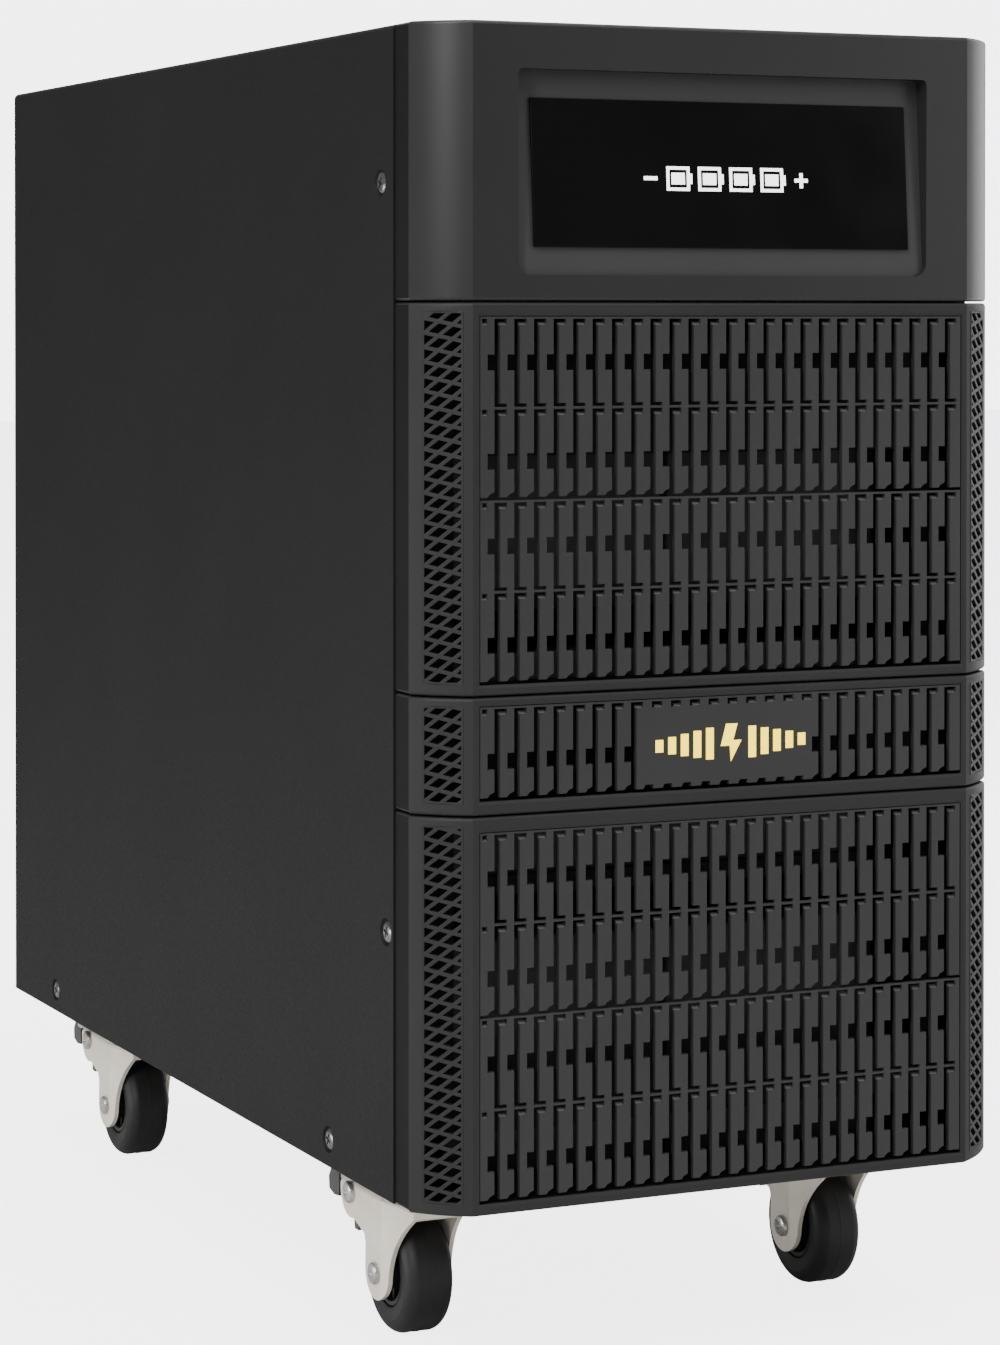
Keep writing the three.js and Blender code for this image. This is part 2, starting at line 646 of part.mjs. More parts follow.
function buildCasters() {
  buildCaster('front_left', -KINGPIN_X, FRONT_KINGPIN_Y);
  buildCaster('front_right', KINGPIN_X, FRONT_KINGPIN_Y);
  buildCaster('rear_left', -KINGPIN_X, REAR_KINGPIN_Y);
  buildCaster('rear_right', KINGPIN_X, REAR_KINGPIN_Y);
}

buildBezels();
buildCover();
buildBaseTray();
buildFrontFrame();
buildRearPanel();
buildBatteryStack();
buildBatteryRetainer();
const OUTER_TERMINAL_X = BLOCK_X + BLOCK.width / 2 - BLOCK_TERMINAL.inset_x;
buildLead('positive_lead', OUTER_TERMINAL_X, BREAKER.x + 9, FINISH.redWire);
buildLead('negative_lead', -OUTER_TERMINAL_X, BREAKER.x - 9, FINISH.blackWire);
buildBreaker();
buildBreakerLever();
CONNECTOR_PLACES.forEach((place, index) => buildConnector(`dc_connector_${index + 1}`, place));
buildGroundStud();
buildCasters();

export default cabinet;
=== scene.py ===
import json
import math

import bmesh
import bpy
from mathutils import Matrix, Vector
from mathutils.geometry import delaunay_2d_cdt

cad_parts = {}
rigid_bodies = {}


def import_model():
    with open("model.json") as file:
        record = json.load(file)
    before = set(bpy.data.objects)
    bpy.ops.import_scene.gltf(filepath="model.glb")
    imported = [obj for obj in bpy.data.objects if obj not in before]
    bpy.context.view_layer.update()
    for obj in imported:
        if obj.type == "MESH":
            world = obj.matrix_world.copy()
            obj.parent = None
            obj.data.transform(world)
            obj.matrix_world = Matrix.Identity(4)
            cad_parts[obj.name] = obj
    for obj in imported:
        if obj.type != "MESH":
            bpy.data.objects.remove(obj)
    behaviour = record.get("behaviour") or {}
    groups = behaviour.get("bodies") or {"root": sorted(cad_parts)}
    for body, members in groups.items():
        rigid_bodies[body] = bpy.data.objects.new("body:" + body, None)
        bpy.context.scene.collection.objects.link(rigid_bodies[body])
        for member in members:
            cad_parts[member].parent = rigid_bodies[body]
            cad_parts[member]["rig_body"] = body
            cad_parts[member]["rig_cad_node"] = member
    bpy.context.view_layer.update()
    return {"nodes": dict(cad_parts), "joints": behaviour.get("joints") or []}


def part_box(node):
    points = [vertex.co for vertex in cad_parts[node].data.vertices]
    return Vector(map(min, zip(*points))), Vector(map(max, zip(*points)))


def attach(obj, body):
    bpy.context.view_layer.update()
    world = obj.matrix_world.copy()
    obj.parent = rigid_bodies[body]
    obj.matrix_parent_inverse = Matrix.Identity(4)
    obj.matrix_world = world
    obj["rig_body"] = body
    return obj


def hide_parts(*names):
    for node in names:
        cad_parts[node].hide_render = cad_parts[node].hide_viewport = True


# A battery cabinet on four braked casters. Lengths are millimetres in the object's frame until a mesh is
# finished: -Y is the front, +X the right seen from the front, and the floor is z = 0.
MM = 0.001
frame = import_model()

CABINET = "cabinet"
PLACES = ("front_left", "front_right", "rear_left", "rear_right")
SIDES = (-1, 1)

# Bezel plan: a flat front, a slightly bowed facet at each corner and a recessed strip along each side.
BEZEL_WALL = 2.5
FACET_BOW = 1.3
FACET_STEPS = 8
STRIP_INSET = 0.8
FLAT_HALF = 110.5
CORNER_DEPTH = 17.0
BEZEL_EDGE = 1.4
FACET_LEAD = 0.9
CUT_DEPTH = 8

# Pocket of the top bezel: its floor leans back towards the top.
POCKET_HALF = 91.5
POCKET_BELOW_TOP = 18.0
POCKET_HEIGHT = 79.7
POCKET_DEPTH_TOP = 7.5
POCKET_DEPTH_BOTTOM = 2.2
POCKET_CORNER = 5.0
POCKET_WALL_BACK = 10.5

# Slotted fields. Each slot has a notch to its right at the top, one to its left part way down, and a foot.
FIELD_LEFT = -107.2
FIELD_RIGHT = 108.0
FIELD_MARGIN = {"upper_grille": (5.4, 4.4), "badge_strip": (3.6, 5.6), "lower_grille": (6.1, 4.7)}
FIELD_ROWS = {"upper_grille": 4, "badge_strip": 1, "lower_grille": 4}
FIELD_RIM = 1.1
SLOT_PITCH = 8.4
SLOT_WIDTH = 2.2
SLOT_COUNT = 25
SLOT_FIRST = FIELD_LEFT + SLOT_PITCH - SLOT_WIDTH
NOTCH_WIDTH = 2.9
TOP_NOTCH_HEIGHT = 2.2
LEDGE_HEIGHT = 1.1
MID_NOTCH_HEIGHT = 6.0
FOOT_HEIGHT = 1.2
ROW_RIB = 1.1
SHEET_GAP = 1.0
SHEET_BORDER = 1.0
PLATE_THICKNESS = 2.4
PLATE_RECESS = 0.5
PLATE_EDGE = 0.42
BLANK_SLOTS = range(8, 17)

# Lattice window in each corner facet of the slotted modules.
LATTICE_FROM = 6.6
LATTICE_TO = 21.4
LATTICE_TOP_MARGIN = 4.2
LATTICE_BOTTOM_MARGIN = 5.3
LATTICE_PITCH = 5.6
LATTICE_RISE = math.tan(math.radians(38))
LATTICE_FALL = math.tan(math.radians(-12))
LATTICE_BAR = 1.6
LATTICE_THICKNESS = 2.4

# Symbols on the window and the badge.
SYMBOLS_LEFT = -35.5
CELL_WIDTH = 11.4
CELL_HEIGHT = 9.6
CELL_GAP = 2.6
CELL_COUNT = 4
SIGN_SIZE = 6
SIGN_LINE = 1.5
BADGE_CENTRE = 2.0
STROKE_HEIGHT = 15
BAR_WIDTH = 3.4
BAR_PITCH = 5.6
BAR_COUNT = 5

# Cover screws, as (y, z) on each side panel.
COVER_SCREWS = ((-219.6, 468.7), (-225.2, 175.1), (-164.6, 81.1), (197.3, 80.6))
SCREW_RADIUS = 4.2

# Caster fork: bent sheet, with a round foot on each leg and an ear round the pedal's pivot.
FORK_SHEET = 2.0
FORK_BEND = 3.2
FORK_INSIDE_BEND = 1.4
FORK_CROWN = 2.5
FORK_LIP = 5.5
LEG_RADIUS = 11.0
EAR_RADIUS = 10.7
LEG_LEAN = math.tan(math.radians(9))

# Studio and camera.
CAMERA_PLACE = (-682.3, -1533.4, 417.4)
CAMERA_YAW = 24.058
CAMERA_PITCH = -0.677
CAMERA_LENS = 97.21
CAMERA_SHIFT = (0.03, -0.235)
SKY_LIGHT = 0.3
SKY_SEEN = 5.0
FLOOR_GLOW = 4.0
FLOOR_REACH = 12.0
FLOOR_DROP = 0.0005

# Panels of light facing the object, in metres: name, azimuth, distance, height, size and brightness.
SOFTBOXES = (
    ("left_strip", -51, 2.0, 1.4, (0.28, 1.4), 26.0),
    ("right_panel", 106, 1.7, 0.5, (1.0, 1.7), 2.2),
    ("front_right_panel", 43, 2.2, 0.7, (0.9, 1.6), 1.9),
    ("low_left", -100, 1.3, 0.08, (0.9, 0.22), 12.0),
    ("back_panel", 160, 2.0, 1.0, (1.6, 1.2), 1.2),
)

# Points nearer than this are one point.
MERGE = 0.0005


# ---------------------------------------------------------------- mesh tools

def box_mm(node):
    low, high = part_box(node)
    return low / MM, high / MM


def joint_point(name):
    joint = next(j for j in frame["joints"] if j["name"] == name)
    return Vector(joint["pos_m"]) / MM


def linked(name, data):
    """A new object in the scene."""
    made = bpy.data.objects.new(name, data)
    bpy.context.scene.collection.objects.link(made)
    return made


def mesh_from(name, bm):
    mesh = bpy.data.meshes.new(name)
    bm.to_mesh(mesh)
    bm.free()
    return mesh


def as_object(name, bm):
    """A mesh object from a bmesh. It stays in millimetres until finish_piece."""
    bmesh.ops.remove_doubles(bm, verts=bm.verts, dist=MERGE)
    bmesh.ops.recalc_face_normals(bm, faces=bm.faces)
    return linked(name, mesh_from(name, bm))


def stitch(bm, ring, other):
    """Faces between two closed rings of as many points."""
    for index in range(len(ring)):
        after = (index + 1) % len(ring)
        bm.faces.new((ring[index], ring[after], other[after], other[index]))


def point_on(axis, first, second, along):
    """A point from its two coordinates across an axis, in XYZ order, and its place along the axis."""
    if axis == "x":
        return (along, first, second)
    if axis == "y":
        return (first, along, second)
    return (first, second, along)


def prism(points, low, high, axis="z"):
    bm = bmesh.new()
    near = [bm.verts.new(point_on(axis, a, b, low)) for a, b in points]
    far = [bm.verts.new(point_on(axis, a, b, high)) for a, b in points]
    bm.faces.new(near)
    bm.faces.new(far)
    stitch(bm, near, far)
    return as_object("prism", bm)


def rounded_prism(outline, low, high, edge, steps=5):
    """An upright prism whose top and bottom rims are rounded."""
    levels = []
    for step in range(steps, -1, -1):
        turn = math.radians(90 * step / steps)
        levels.append((edge * (1 - math.sin(turn)), edge * (1 - math.cos(turn))))
    stack = [(low + rise, inset) for rise, inset in levels]
    stack += [(high - rise, inset) for rise, inset in reversed(levels)]
    bm = bmesh.new()
    rings = []
    for height, inset in stack:
        rings.append([bm.verts.new((*p, height)) for p in shrunk_loop(anticlockwise(outline), inset)])
    bm.faces.new(rings[0])
    bm.faces.new(rings[-1])
    for below, above in zip(rings, rings[1:]):
        stitch(bm, below, above)
    return as_object("rounded", bm)


def block(low, high):
    corners = [(low[0], low[1]), (high[0], low[1]), (high[0], high[1]), (low[0], high[1])]
    return prism(corners, low[2], high[2])


def turned(profile, axis="x", centre=(0, 0, 0), steps=48):
    """A ring or disc: a closed outline of (radius, along) points swept round an axis through centre."""
    bm = bmesh.new()
    rings = []
    for step in range(steps):
        angle = math.tau * step / steps
        ring = []
        for radius, along in profile:
            local = point_on(axis, radius * math.cos(angle), radius * math.sin(angle), along)
            ring.append(bm.verts.new(Vector(local) + Vector(centre)))
        rings.append(ring)
    for step in range(steps):
        stitch(bm, rings[step], rings[(step + 1) % steps])
    bmesh.ops.remove_doubles(bm, verts=bm.verts, dist=MERGE)
    bmesh.ops.dissolve_degenerate(bm, edges=bm.edges, dist=MERGE)
    return as_object("turned", bm)


def rod(radius, low, high, axis, centre, steps=24):
    """A round bar along an axis, from low to high as measured from its centre."""
    return turned([(0, low), (radius, low), (radius, high), (0, high)], axis, centre, steps)


def arc(centre_a, centre_b, radius, start, end, steps):
    """Points of an arc, with its angles in degrees."""
    points = []
    for step in range(steps + 1):
        angle = math.radians(start + (end - start) * step / steps)
        points.append((centre_a + radius * math.cos(angle), centre_b + radius * math.sin(angle)))
    return points


def rounded_rectangle(low_a, high_a, low_b, high_b, radius, steps=5):
    points = []
    points += arc(high_a - radius, low_b + radius, radius, -90, 0, steps)
    points += arc(high_a - radius, high_b - radius, radius, 0, 90, steps)
    points += arc(low_a + radius, high_b - radius, radius, 90, 180, steps)
    points += arc(low_a + radius, low_b + radius, radius, 180, 270, steps)
    return points


def bent_section(left, right, bottom, top, bend, steps):
    """An upside-down U: two upright sides and a top, with its corners bent round."""
    half = [(left, bottom), (left, top - bend)]
    half += arc(left + bend, top - bend, bend, 180, 90, steps)[1:]
    return half + [(left + right - x, z) for x, z in reversed(half)]


def settle(piece):
    """Applies a piece's modifiers to its mesh."""
    depsgraph = bpy.context.evaluated_depsgraph_get()
    depsgraph.update()
    mesh = bpy.data.meshes.new_from_object(piece.evaluated_get(depsgraph))
    piece.modifiers.clear()
    piece.data = mesh
    return piece


def combine(piece, others, operation):
    for other in others:
        modifier = piece.modifiers.new("combine", "BOOLEAN")
        modifier.operation = operation
        modifier.solver = "MANIFOLD"
        modifier.object = other
    settle(piece)
    for other in others:
        bpy.data.objects.remove(other)
    return piece


def cut(piece, *cutters):
    return combine(piece, cutters, "DIFFERENCE")


def join(piece, *others):
    return combine(piece, others, "UNION")


def keep(piece, *others):
    return combine(piece, others, "INTERSECT")


def soften(piece, width, segments=2, angle=30):
    """Rounds every edge sharper than angle, after joining the flat faces that a boolean split."""
    bm = bmesh.new()
    bm.from_mesh(piece.data)
    bmesh.ops.remove_doubles(bm, verts=bm.verts, dist=0.002)
    bmesh.ops.dissolve_limit(bm, angle_limit=math.radians(1), verts=bm.verts, edges=bm.edges)
    bm.to_mesh(piece.data)
    bm.free()
    modifier = piece.modifiers.new("soften", "BEVEL")
    modifier.width = width
    modifier.segments = segments
    modifier.limit_method = "ANGLE"
    modifier.angle_limit = math.radians(angle)
    modifier.use_clamp_overlap = True
    return settle(piece)


def gather(pieces):
    """One object that holds several closed shells."""
    bm = bmesh.new()
    for piece in pieces:
        bm.from_mesh(piece.data)
    for piece in pieces[1:]:
        bpy.data.objects.remove(piece)
    pieces[0].data = mesh_from("gathered", bm)
    return pieces[0]


def moved(piece, x=0, y=0, z=0):
    piece.data.transform(Matrix.Translation((x, y, z)))
    return piece


def mirror(piece):
    """Turns a right-hand piece into a left-hand one."""
    piece.data.transform(Matrix.Scale(-1, 4, (1, 0, 0)))
    piece.data.flip_normals()
    return piece


def finish_piece(piece, name, finish, body=CABINET, replaces=(), smooth=35):
    """Scales a piece to metres, smooths its shading and hands it to the frame."""
    piece.name = name
    piece.data.name = name
    piece.data.transform(Matrix.Scale(MM, 4))
    piece.data.polygons.foreach_set("use_smooth", [True] * len(piece.data.polygons))
    piece.data.set_sharp_from_angle(angle=math.radians(smooth))
    modifier = piece.modifiers.new("normals", "WEIGHTED_NORMAL")
    modifier.keep_sharp = True
    settle(piece)
    piece.data.materials.clear()
    piece.data.materials.append(FINISH[finish])
    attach(piece, body)
    if replaces:
        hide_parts(*replaces)


def signed_area(points):
    total = 0
    for (ax, ay), (bx, by) in zip(points, points[1:] + points[:1]):
        total += ax * by - bx * ay
    return total / 2


def anticlockwise(points):
    return points if signed_area(points) > 0 else points[::-1]


def shrunk_loop(points, amount):
    """Moves a closed loop to its left by amount, keeping its corners square."""
    moved_points = []
    for index, point in enumerate(points):
        here = Vector(point)
        along_in = (here - Vector(points[index - 1])).normalized()
        along_out = (Vector(points[(index + 1) % len(points)]) - here).normalized()
        left_in = Vector((-along_in.y, along_in.x))
        left_out = Vector((-along_out.y, along_out.x))
        moved_points.append(here + (left_in + left_out) * amount / (1 + left_in.dot(left_out)))
    return moved_points


def cap_sheet(bm, loops, flip):
    """Fills the space between an outer loop and its holes."""
    verts = [vert for loop in loops for vert in loop]
    indices = []
    start = 0
    for loop in loops:
        indices.append(list(range(start, start + len(loop))))
        start += len(loop)
    omit_holes = 5
    filled = delaunay_2d_cdt([vert.co.xy for vert in verts], [], indices, omit_holes, 1e-5)
    for face in filled[2]:
        corners = [verts[filled[3][index][0]] for index in face]
        bm.faces.new(corners[::-1] if flip else corners)


def perforated(outline, holes, thickness, edge):
    """A flat sheet in the XY plane, centred on z = 0, with holes and with its front edges rounded."""
    loops = [anticlockwise(outline)] + [anticlockwise(hole)[::-1] for hole in holes]
    front = thickness / 2
    eased = edge * 0.29
    levels = ((front, edge), (front - eased, eased), (front - edge, 0), (-front, 0))
    bm = bmesh.new()
    rings = []
    for height, inset in levels:
        rings.append([[bm.verts.new((*p, height)) for p in shrunk_loop(loop, inset)] for loop in loops])
    for upper, lower in zip(rings, rings[1:]):
        for above, below in zip(upper, lower):
            stitch(bm, below, above)
    cap_sheet(bm, rings[0], False)
    cap_sheet(bm, rings[-1], True)
    return as_object("sheet", bm)


def softened_node(node, name, finish, body=CABINET, width=0.5, smooth=35):
    """A copy of a CAD solid with its edges rounded, standing for it."""
    piece = frame["nodes"][node].copy()
    piece.data = piece.data.copy()
    piece.parent = None
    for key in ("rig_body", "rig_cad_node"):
        if key in piece:
            del piece[key]
    bpy.context.scene.collection.objects.link(piece)
    piece.data.transform(Matrix.Scale(1 / MM, 4))
    soften(piece, width)
    finish_piece(piece, name, finish, body, (node,), smooth)


# ---------------------------------------------------------------- materials

def new_material(name):
    material = bpy.data.materials.new(name)
    material.use_nodes = True
    tree = material.node_tree
    shader = tree.nodes["Principled BSDF"]
    place = tree.nodes.new("ShaderNodeTexCoord")
    return material, tree, shader, place.outputs["Object"]


def set_inputs(node, values):
    for name, value in values.items():
        node.inputs[name].default_value = value
    return node


def add_node(tree, kind, values):
    return set_inputs(tree.nodes.new("ShaderNode" + kind), values)


def noise(tree, place, size, detail=3, stretch=(1, 1, 1)):
    """A noise whose features are about size millimetres across."""
    mapping = add_node(tree, "Mapping", {"Scale": [s / (size * MM) for s in stretch]})
    tree.links.new(place, mapping.inputs["Vector"])
    made = add_node(tree, "TexNoise", {"Scale": 1, "Detail": detail})
    tree.links.new(mapping.outputs["Vector"], made.inputs["Vector"])
    return made.outputs["Fac"]


def spread(tree, value, low, high):
    """Maps the middle of a noise's range onto low to high."""
    values = {"From Min": 0.3, "From Max": 0.7, "To Min": low, "To Max": high}
    made = add_node(tree, "MapRange", values)
    tree.links.new(value, made.inputs["Value"])
    return made.outputs["Result"]


def rgba(shade):
    """A colour from one grey level or from three channels."""
    return (*shade, 1) if isinstance(shade, tuple) else (shade, shade, shade, 1)


def blend_colours(tree, factor, first, second):
    made = tree.nodes.new("ShaderNodeMix")
    made.data_type = "RGBA"
    tree.links.new(factor, made.inputs[0])
    made.inputs[6].default_value = rgba(first)
    made.inputs[7].default_value = rgba(second)
    return made.outputs[2]


def bump(tree, height, strength, shader):
    made = add_node(tree, "Bump", {"Strength": strength, "Distance": 0.05 * MM})
    tree.links.new(height, made.inputs["Height"])
    tree.links.new(made.outputs["Normal"], shader.inputs["Normal"])


def grained(name, dark, light, roughness, grain, grain_strength, specular=0.5, patch=60):
    """Moulded plastic, paint or rubber: a fine grain in bump and colour over broad, faint patches."""
    material, tree, shader, place = new_material(name)
    fine = noise(tree, place, grain, 2)
    broad = noise(tree, place, patch, 3)
    patches = spread(tree, broad, 0.0, 1.0)
    tree.links.new(blend_colours(tree, patches, dark, light), shader.inputs["Base Color"])
    tree.links.new(spread(tree, fine, roughness - 0.05, roughness + 0.07), shader.inputs["Roughness"])
    shader.inputs["Specular IOR Level"].default_value = specular
    bump(tree, fine, grain_strength, shader)
    return material


def plated_steel(name, dark, light, roughness, metallic):
    """Zinc plated sheet: faint cloudy patches and fine rolling lines."""
    material, tree, shader, place = new_material(name)
    cloud = noise(tree, place, 9, 4)
    lines = noise(tree, place, 1.2, 3, (1, 0.08, 1))
    tree.links.new(blend_colours(tree, spread(tree, cloud, 0, 1), dark, light), shader.inputs["Base Color"])
    tree.links.new(spread(tree, lines, roughness - 0.08, roughness + 0.1), shader.inputs["Roughness"])
    shader.inputs["Metallic"].default_value = metallic
    bump(tree, lines, 0.1, shader)
    return material


def print_ink(name, colour, painted_glow):
    """A bright screen printed ink, lifted further by painted light: an even glow in its own colour."""
    material, _, shader, _ = new_material(name)
    set_inputs(shader, {
        "Base Color": rgba(colour),
        "Roughness": 0.5,
        "Emission Color": rgba(colour),
        "Emission Strength": painted_glow,
    })
    return material


# Moulded, painted and rubber finishes: dark and light shade, roughness, size of the grain in millimetres and
# its strength, then the specular level and the size of the patches where they aren't the usual ones.
GRAINED = {
    "cover": ("cover_powder_coat", 0.0100, 0.0115, 0.55, 0.9, 0.3, 0.11),
    "bezel": ("bezel_plastic", 0.0160, 0.0185, 0.33, 0.45, 0.2, 0.36),
    # Painted light: the pocket floor is coloured lighter than the bezel because it leans back and faces the
    # light.
    "pocket": ("pocket_floor_painted_light", 0.035, 0.039, 0.42, 0.45, 0.2, 0.35),
    "grille": ("grille_plastic", 0.0175, 0.0205, 0.5, 0.45, 0.25, 0.28),
    "slats": ("slat_plastic", 0.026, 0.030, 0.42, 0.45, 0.22, 0.34),
    # Painted highlight: the notch ledges are coloured lighter than the slats, where light falls on them.
    "ledges": ("ledge_painted_highlight", 0.075, 0.085, 0.45, 0.45, 0.2, 0.4),
    # Painted shade: the recessed side strips are coloured darker than the bezel.
    "strip": ("side_strip_painted_shade", 0.006, 0.0075, 0.6, 0.45, 0.2, 0.1),
    "window": ("window_gloss", 0.0035, 0.0045, 0.14, 30, 0.02, 0.1, 80),
    "chassis": ("chassis_paint", 0.012, 0.016, 0.55, 0.9, 0.3, 0.25),
    "rubber": ("tyre_rubber", 0.014, 0.02, 0.5, 0.6, 0.3, 0.3, 12),
    "hub": ("hub_plastic", 0.02, 0.028, 0.42, 0.5, 0.2, 0.3, 8),
    "pedal": ("pedal_plastic", 0.05, 0.07, 0.5, 0.5, 0.25, 0.5, 8),
    "battery": ("battery_case", 0.05, 0.06, 0.45, 0.6, 0.2),
    "breaker": ("breaker_case", (0.55, 0.56, 0.55), (0.62, 0.63, 0.62), 0.42, 0.4, 0.12),
    "lever": ("lever_plastic", 0.012, 0.017, 0.32, 0.4, 0.1),
    "socket": ("connector_plastic", (0.20, 0.21, 0.22), (0.24, 0.25, 0.26), 0.4, 0.4, 0.12),
    "red_lead": ("red_lead_jacket", (0.35, 0.012, 0.01), (0.42, 0.02, 0.015), 0.4, 0.8, 0.15),
    "black_lead": ("black_lead_jacket", 0.012, 0.018, 0.4, 0.8, 0.15),
}

# Plated metals: dark and light shade, roughness and metallic level.
PLATED = {
    "fork": ("fork_plating", (0.94, 0.87, 0.74), (0.99, 0.93, 0.82), 0.38, 0.22),
    "race": ("race_plating", (0.22, 0.215, 0.21), (0.30, 0.29, 0.28), 0.4, 0.8),
    "bolt": ("bolt_plating", (0.52, 0.51, 0.49), (0.62, 0.60, 0.57), 0.3, 0.8),
    "screw": ("screw_blackening", (0.16, 0.16, 0.16), (0.22, 0.22, 0.21), 0.26, 0.9),
    "brass": ("brass", (0.55, 0.38, 0.13), (0.64, 0.46, 0.18), 0.34, 0.9),
}

# Screen printed inks: colour and the strength of their painted glow.
PRINTED = {
    "white_print": ("white_print", (0.86, 0.86, 0.86), 3.0),
    "yellow_print": ("yellow_print", (1.0, 0.73, 0.01), 2.5),
}


def make_materials():
    finish = {}
    for maker, rows in ((grained, GRAINED), (plated_steel, PLATED), (print_ink, PRINTED)):
        for key, values in rows.items():
            finish[key] = maker(*values)
    return finish


FINISH = make_materials()


# ---------------------------------------------------------------- bezel modules

def facet_points(side, inset=0.0):
    """The bowed corner facet on one side, from its back edge to the flat front, in plan."""
    low, _ = box_mm("top_bezel")
    back = Vector((-low.x * side, low.y + CORNER_DEPTH))
    front = Vector((FLAT_HALF * side, low.y))
    outward = Vector((side * (front.y - back.y), side * (back.x - front.x))).normalized() * -1
    points = []
    for step in range(FACET_STEPS + 1):
        part = step / FACET_STEPS
        bow = 4 * FACET_BOW * part * (1 - part)
        points.append(back.lerp(front, part) + outward * (bow - inset))
    return points


def bezel_plan(wall=0.0, behind=0.0):
    """Plan of a bezel module, shrunk by a wall thickness and carried past its back by a given length."""
    low, high = box_mm("top_bezel")
    back = high.y + behind
    left = [(low.x + STRIP_INSET + wall, back)]
    if wall == 0:
        left.append((low.x + STRIP_INSET, low.y + CORNER_DEPTH + FACET_LEAD))
        left += [tuple(p) for p in facet_points(-1)]
    else:
        left.append((low.x + STRIP_INSET + wall, low.y + CORNER_DEPTH + 0.35 * wall))
        left.append((-FLAT_HALF + 0.35 * wall, low.y + wall))
    right = [(-x, y) for x, y in reversed(left)]
    return left + right


def bezel_shell(node, *thicker):
    """A moulded tray, open behind, with its rims rounded. It stays solid inside the thicker pieces."""
    low, high = box_mm(node)
    shell = rounded_prism(bezel_plan(), low.z, high.z, BEZEL_EDGE)
    inner = prism(bezel_plan(BEZEL_WALL, 5), low.z + BEZEL_WALL, high.z - BEZEL_WALL)
    return cut(shell, cut(inner, *thicker))


def framed_cutter(outline, rim, drop, axis_place):
    """A cutter in the XY plane through a wall, with a sloped rim drop deep and rim wide round it."""
    bm = bmesh.new()
    centre = Vector((sum(p[0] for p in outline), sum(p[1] for p in outline))) / len(outline)
    levels = []
    for height, grow in ((-CUT_DEPTH, 0), (-drop, 0), (drop, rim * 2)):
        ring = []
        for a, b in outline:
            x = a + math.copysign(grow, a - centre.x)
            y = b + math.copysign(grow, b - centre.y)
            ring.append(bm.verts.new(axis_place @ Vector((x, y, height))))
        levels.append(ring)
    bm.faces.new(levels[0])
    bm.faces.new(levels[-1])
    for lower, upper in zip(levels, levels[1:]):
        stitch(bm, lower, upper)
    return as_object("cutter", bm)


def front_place(depth=0.0):
    """Puts a sheet drawn in XY on the flat front: X stays, Y becomes up, and +Z faces the front."""
    low, _ = box_mm("top_bezel")
    return Matrix(((1, 0, 0, 0), (0, 0, -1, low.y + depth), (0, 1, 0, 0), (0, 0, 0, 1)))


def facet_place(side, depth=0.0):
    """Puts a sheet drawn in XY on a corner facet: X runs from its back edge to the front, Y up."""
    points = facet_points(side)
    back = points[0]
    front = points[-1]
    along = (front - back).normalized()
    outward = Vector((along.y, -along.x)) if side < 0 else Vector((-along.y, along.x))
    origin = back + outward * (FACET_BOW * 0.75 - depth)
    return Matrix((
        (along.x, 0, outward.x, origin.x),
        (along.y, 0, outward.y, origin.y),
        (0, 1, 0, 0),
        (0, 0, 0, 1),
    ))


def field_span(node):
    low, high = box_mm(node)
    above, below = FIELD_MARGIN[node]
    return low.z + below, high.z - above


def rectangle(left, right, bottom, top):
    return [(left, bottom), (right, bottom), (right, top), (left, top)]


def slot_head(left, top):
    """The top of a slot, clockwise from its top left corner, with its notch to the right."""
    right = left + SLOT_WIDTH
    notch = right + NOTCH_WIDTH
    return [
        (left, top),
        (notch, top),
        (notch, top - TOP_NOTCH_HEIGHT * 0.6),
        (notch - 0.5, top - TOP_NOTCH_HEIGHT),
        (right, top - TOP_NOTCH_HEIGHT),
    ]


def slot_waist(left, middle):
    """The left side of a slot, going up past its square notch."""
    notch = left - NOTCH_WIDTH
    half = MID_NOTCH_HEIGHT / 2
    return [(left, middle - half), (notch, middle - half), (notch, middle + half), (left, middle + half)]


def open_slot(left, bottom, top):
    """A slot inside the sheet, with its foot to the right."""
    right = left + SLOT_WIDTH
    foot = [(right, bottom + FOOT_HEIGHT), (right + NOTCH_WIDTH, bottom + FOOT_HEIGHT)]
    foot += [(right + NOTCH_WIDTH, bottom), (left, bottom)]
    return slot_head(left, top) + foot + slot_waist(left, top - (top - bottom) * 0.495)


def edge_slot(left, bottom, top):
    """A slot that runs out through the sheet's lower edge, with its foot to the left."""
    foot = [(left - NOTCH_WIDTH, bottom), (left - NOTCH_WIDTH + 0.9, bottom + FOOT_HEIGHT)]
    foot.append((left, bottom + FOOT_HEIGHT * 1.8))
    waist = slot_waist(left, top - (top - bottom) * 0.59)
    return foot + waist + slot_head(left, top) + [(left + SLOT_WIDTH, bottom)]


def blank_notch(left, top):
    """The notch that is left at the top of a slot that is filled in for the badge."""
    return rectangle(left + 0.8, left + SLOT_WIDTH + NOTCH_WIDTH, top - TOP_NOTCH_HEIGHT, top)


def blank_foot(left, bottom):
    """The foot that is left at the bottom of such a slot, as an indent in the sheet's edge."""
    start = left - NOTCH_WIDTH
    end = left + SLOT_WIDTH - 1
    return [(start, bottom), (start + 0.9, bottom + 1.6), (end, bottom + 1.6), (end, bottom)]


def ledge(left, right, bottom):
    """A sloped step at the bottom of a notch, from the face of the sheet up to its back."""
    face = PLATE_THICKNESS / 2 - 0.25
    slope = [(bottom - 0.2, -face), (bottom - 0.2, face)]
    slope += [(bottom + 0.15, face), (bottom + LEDGE_HEIGHT, -face)]
    return prism(slope, left - 0.05, right + 0.1, "x")


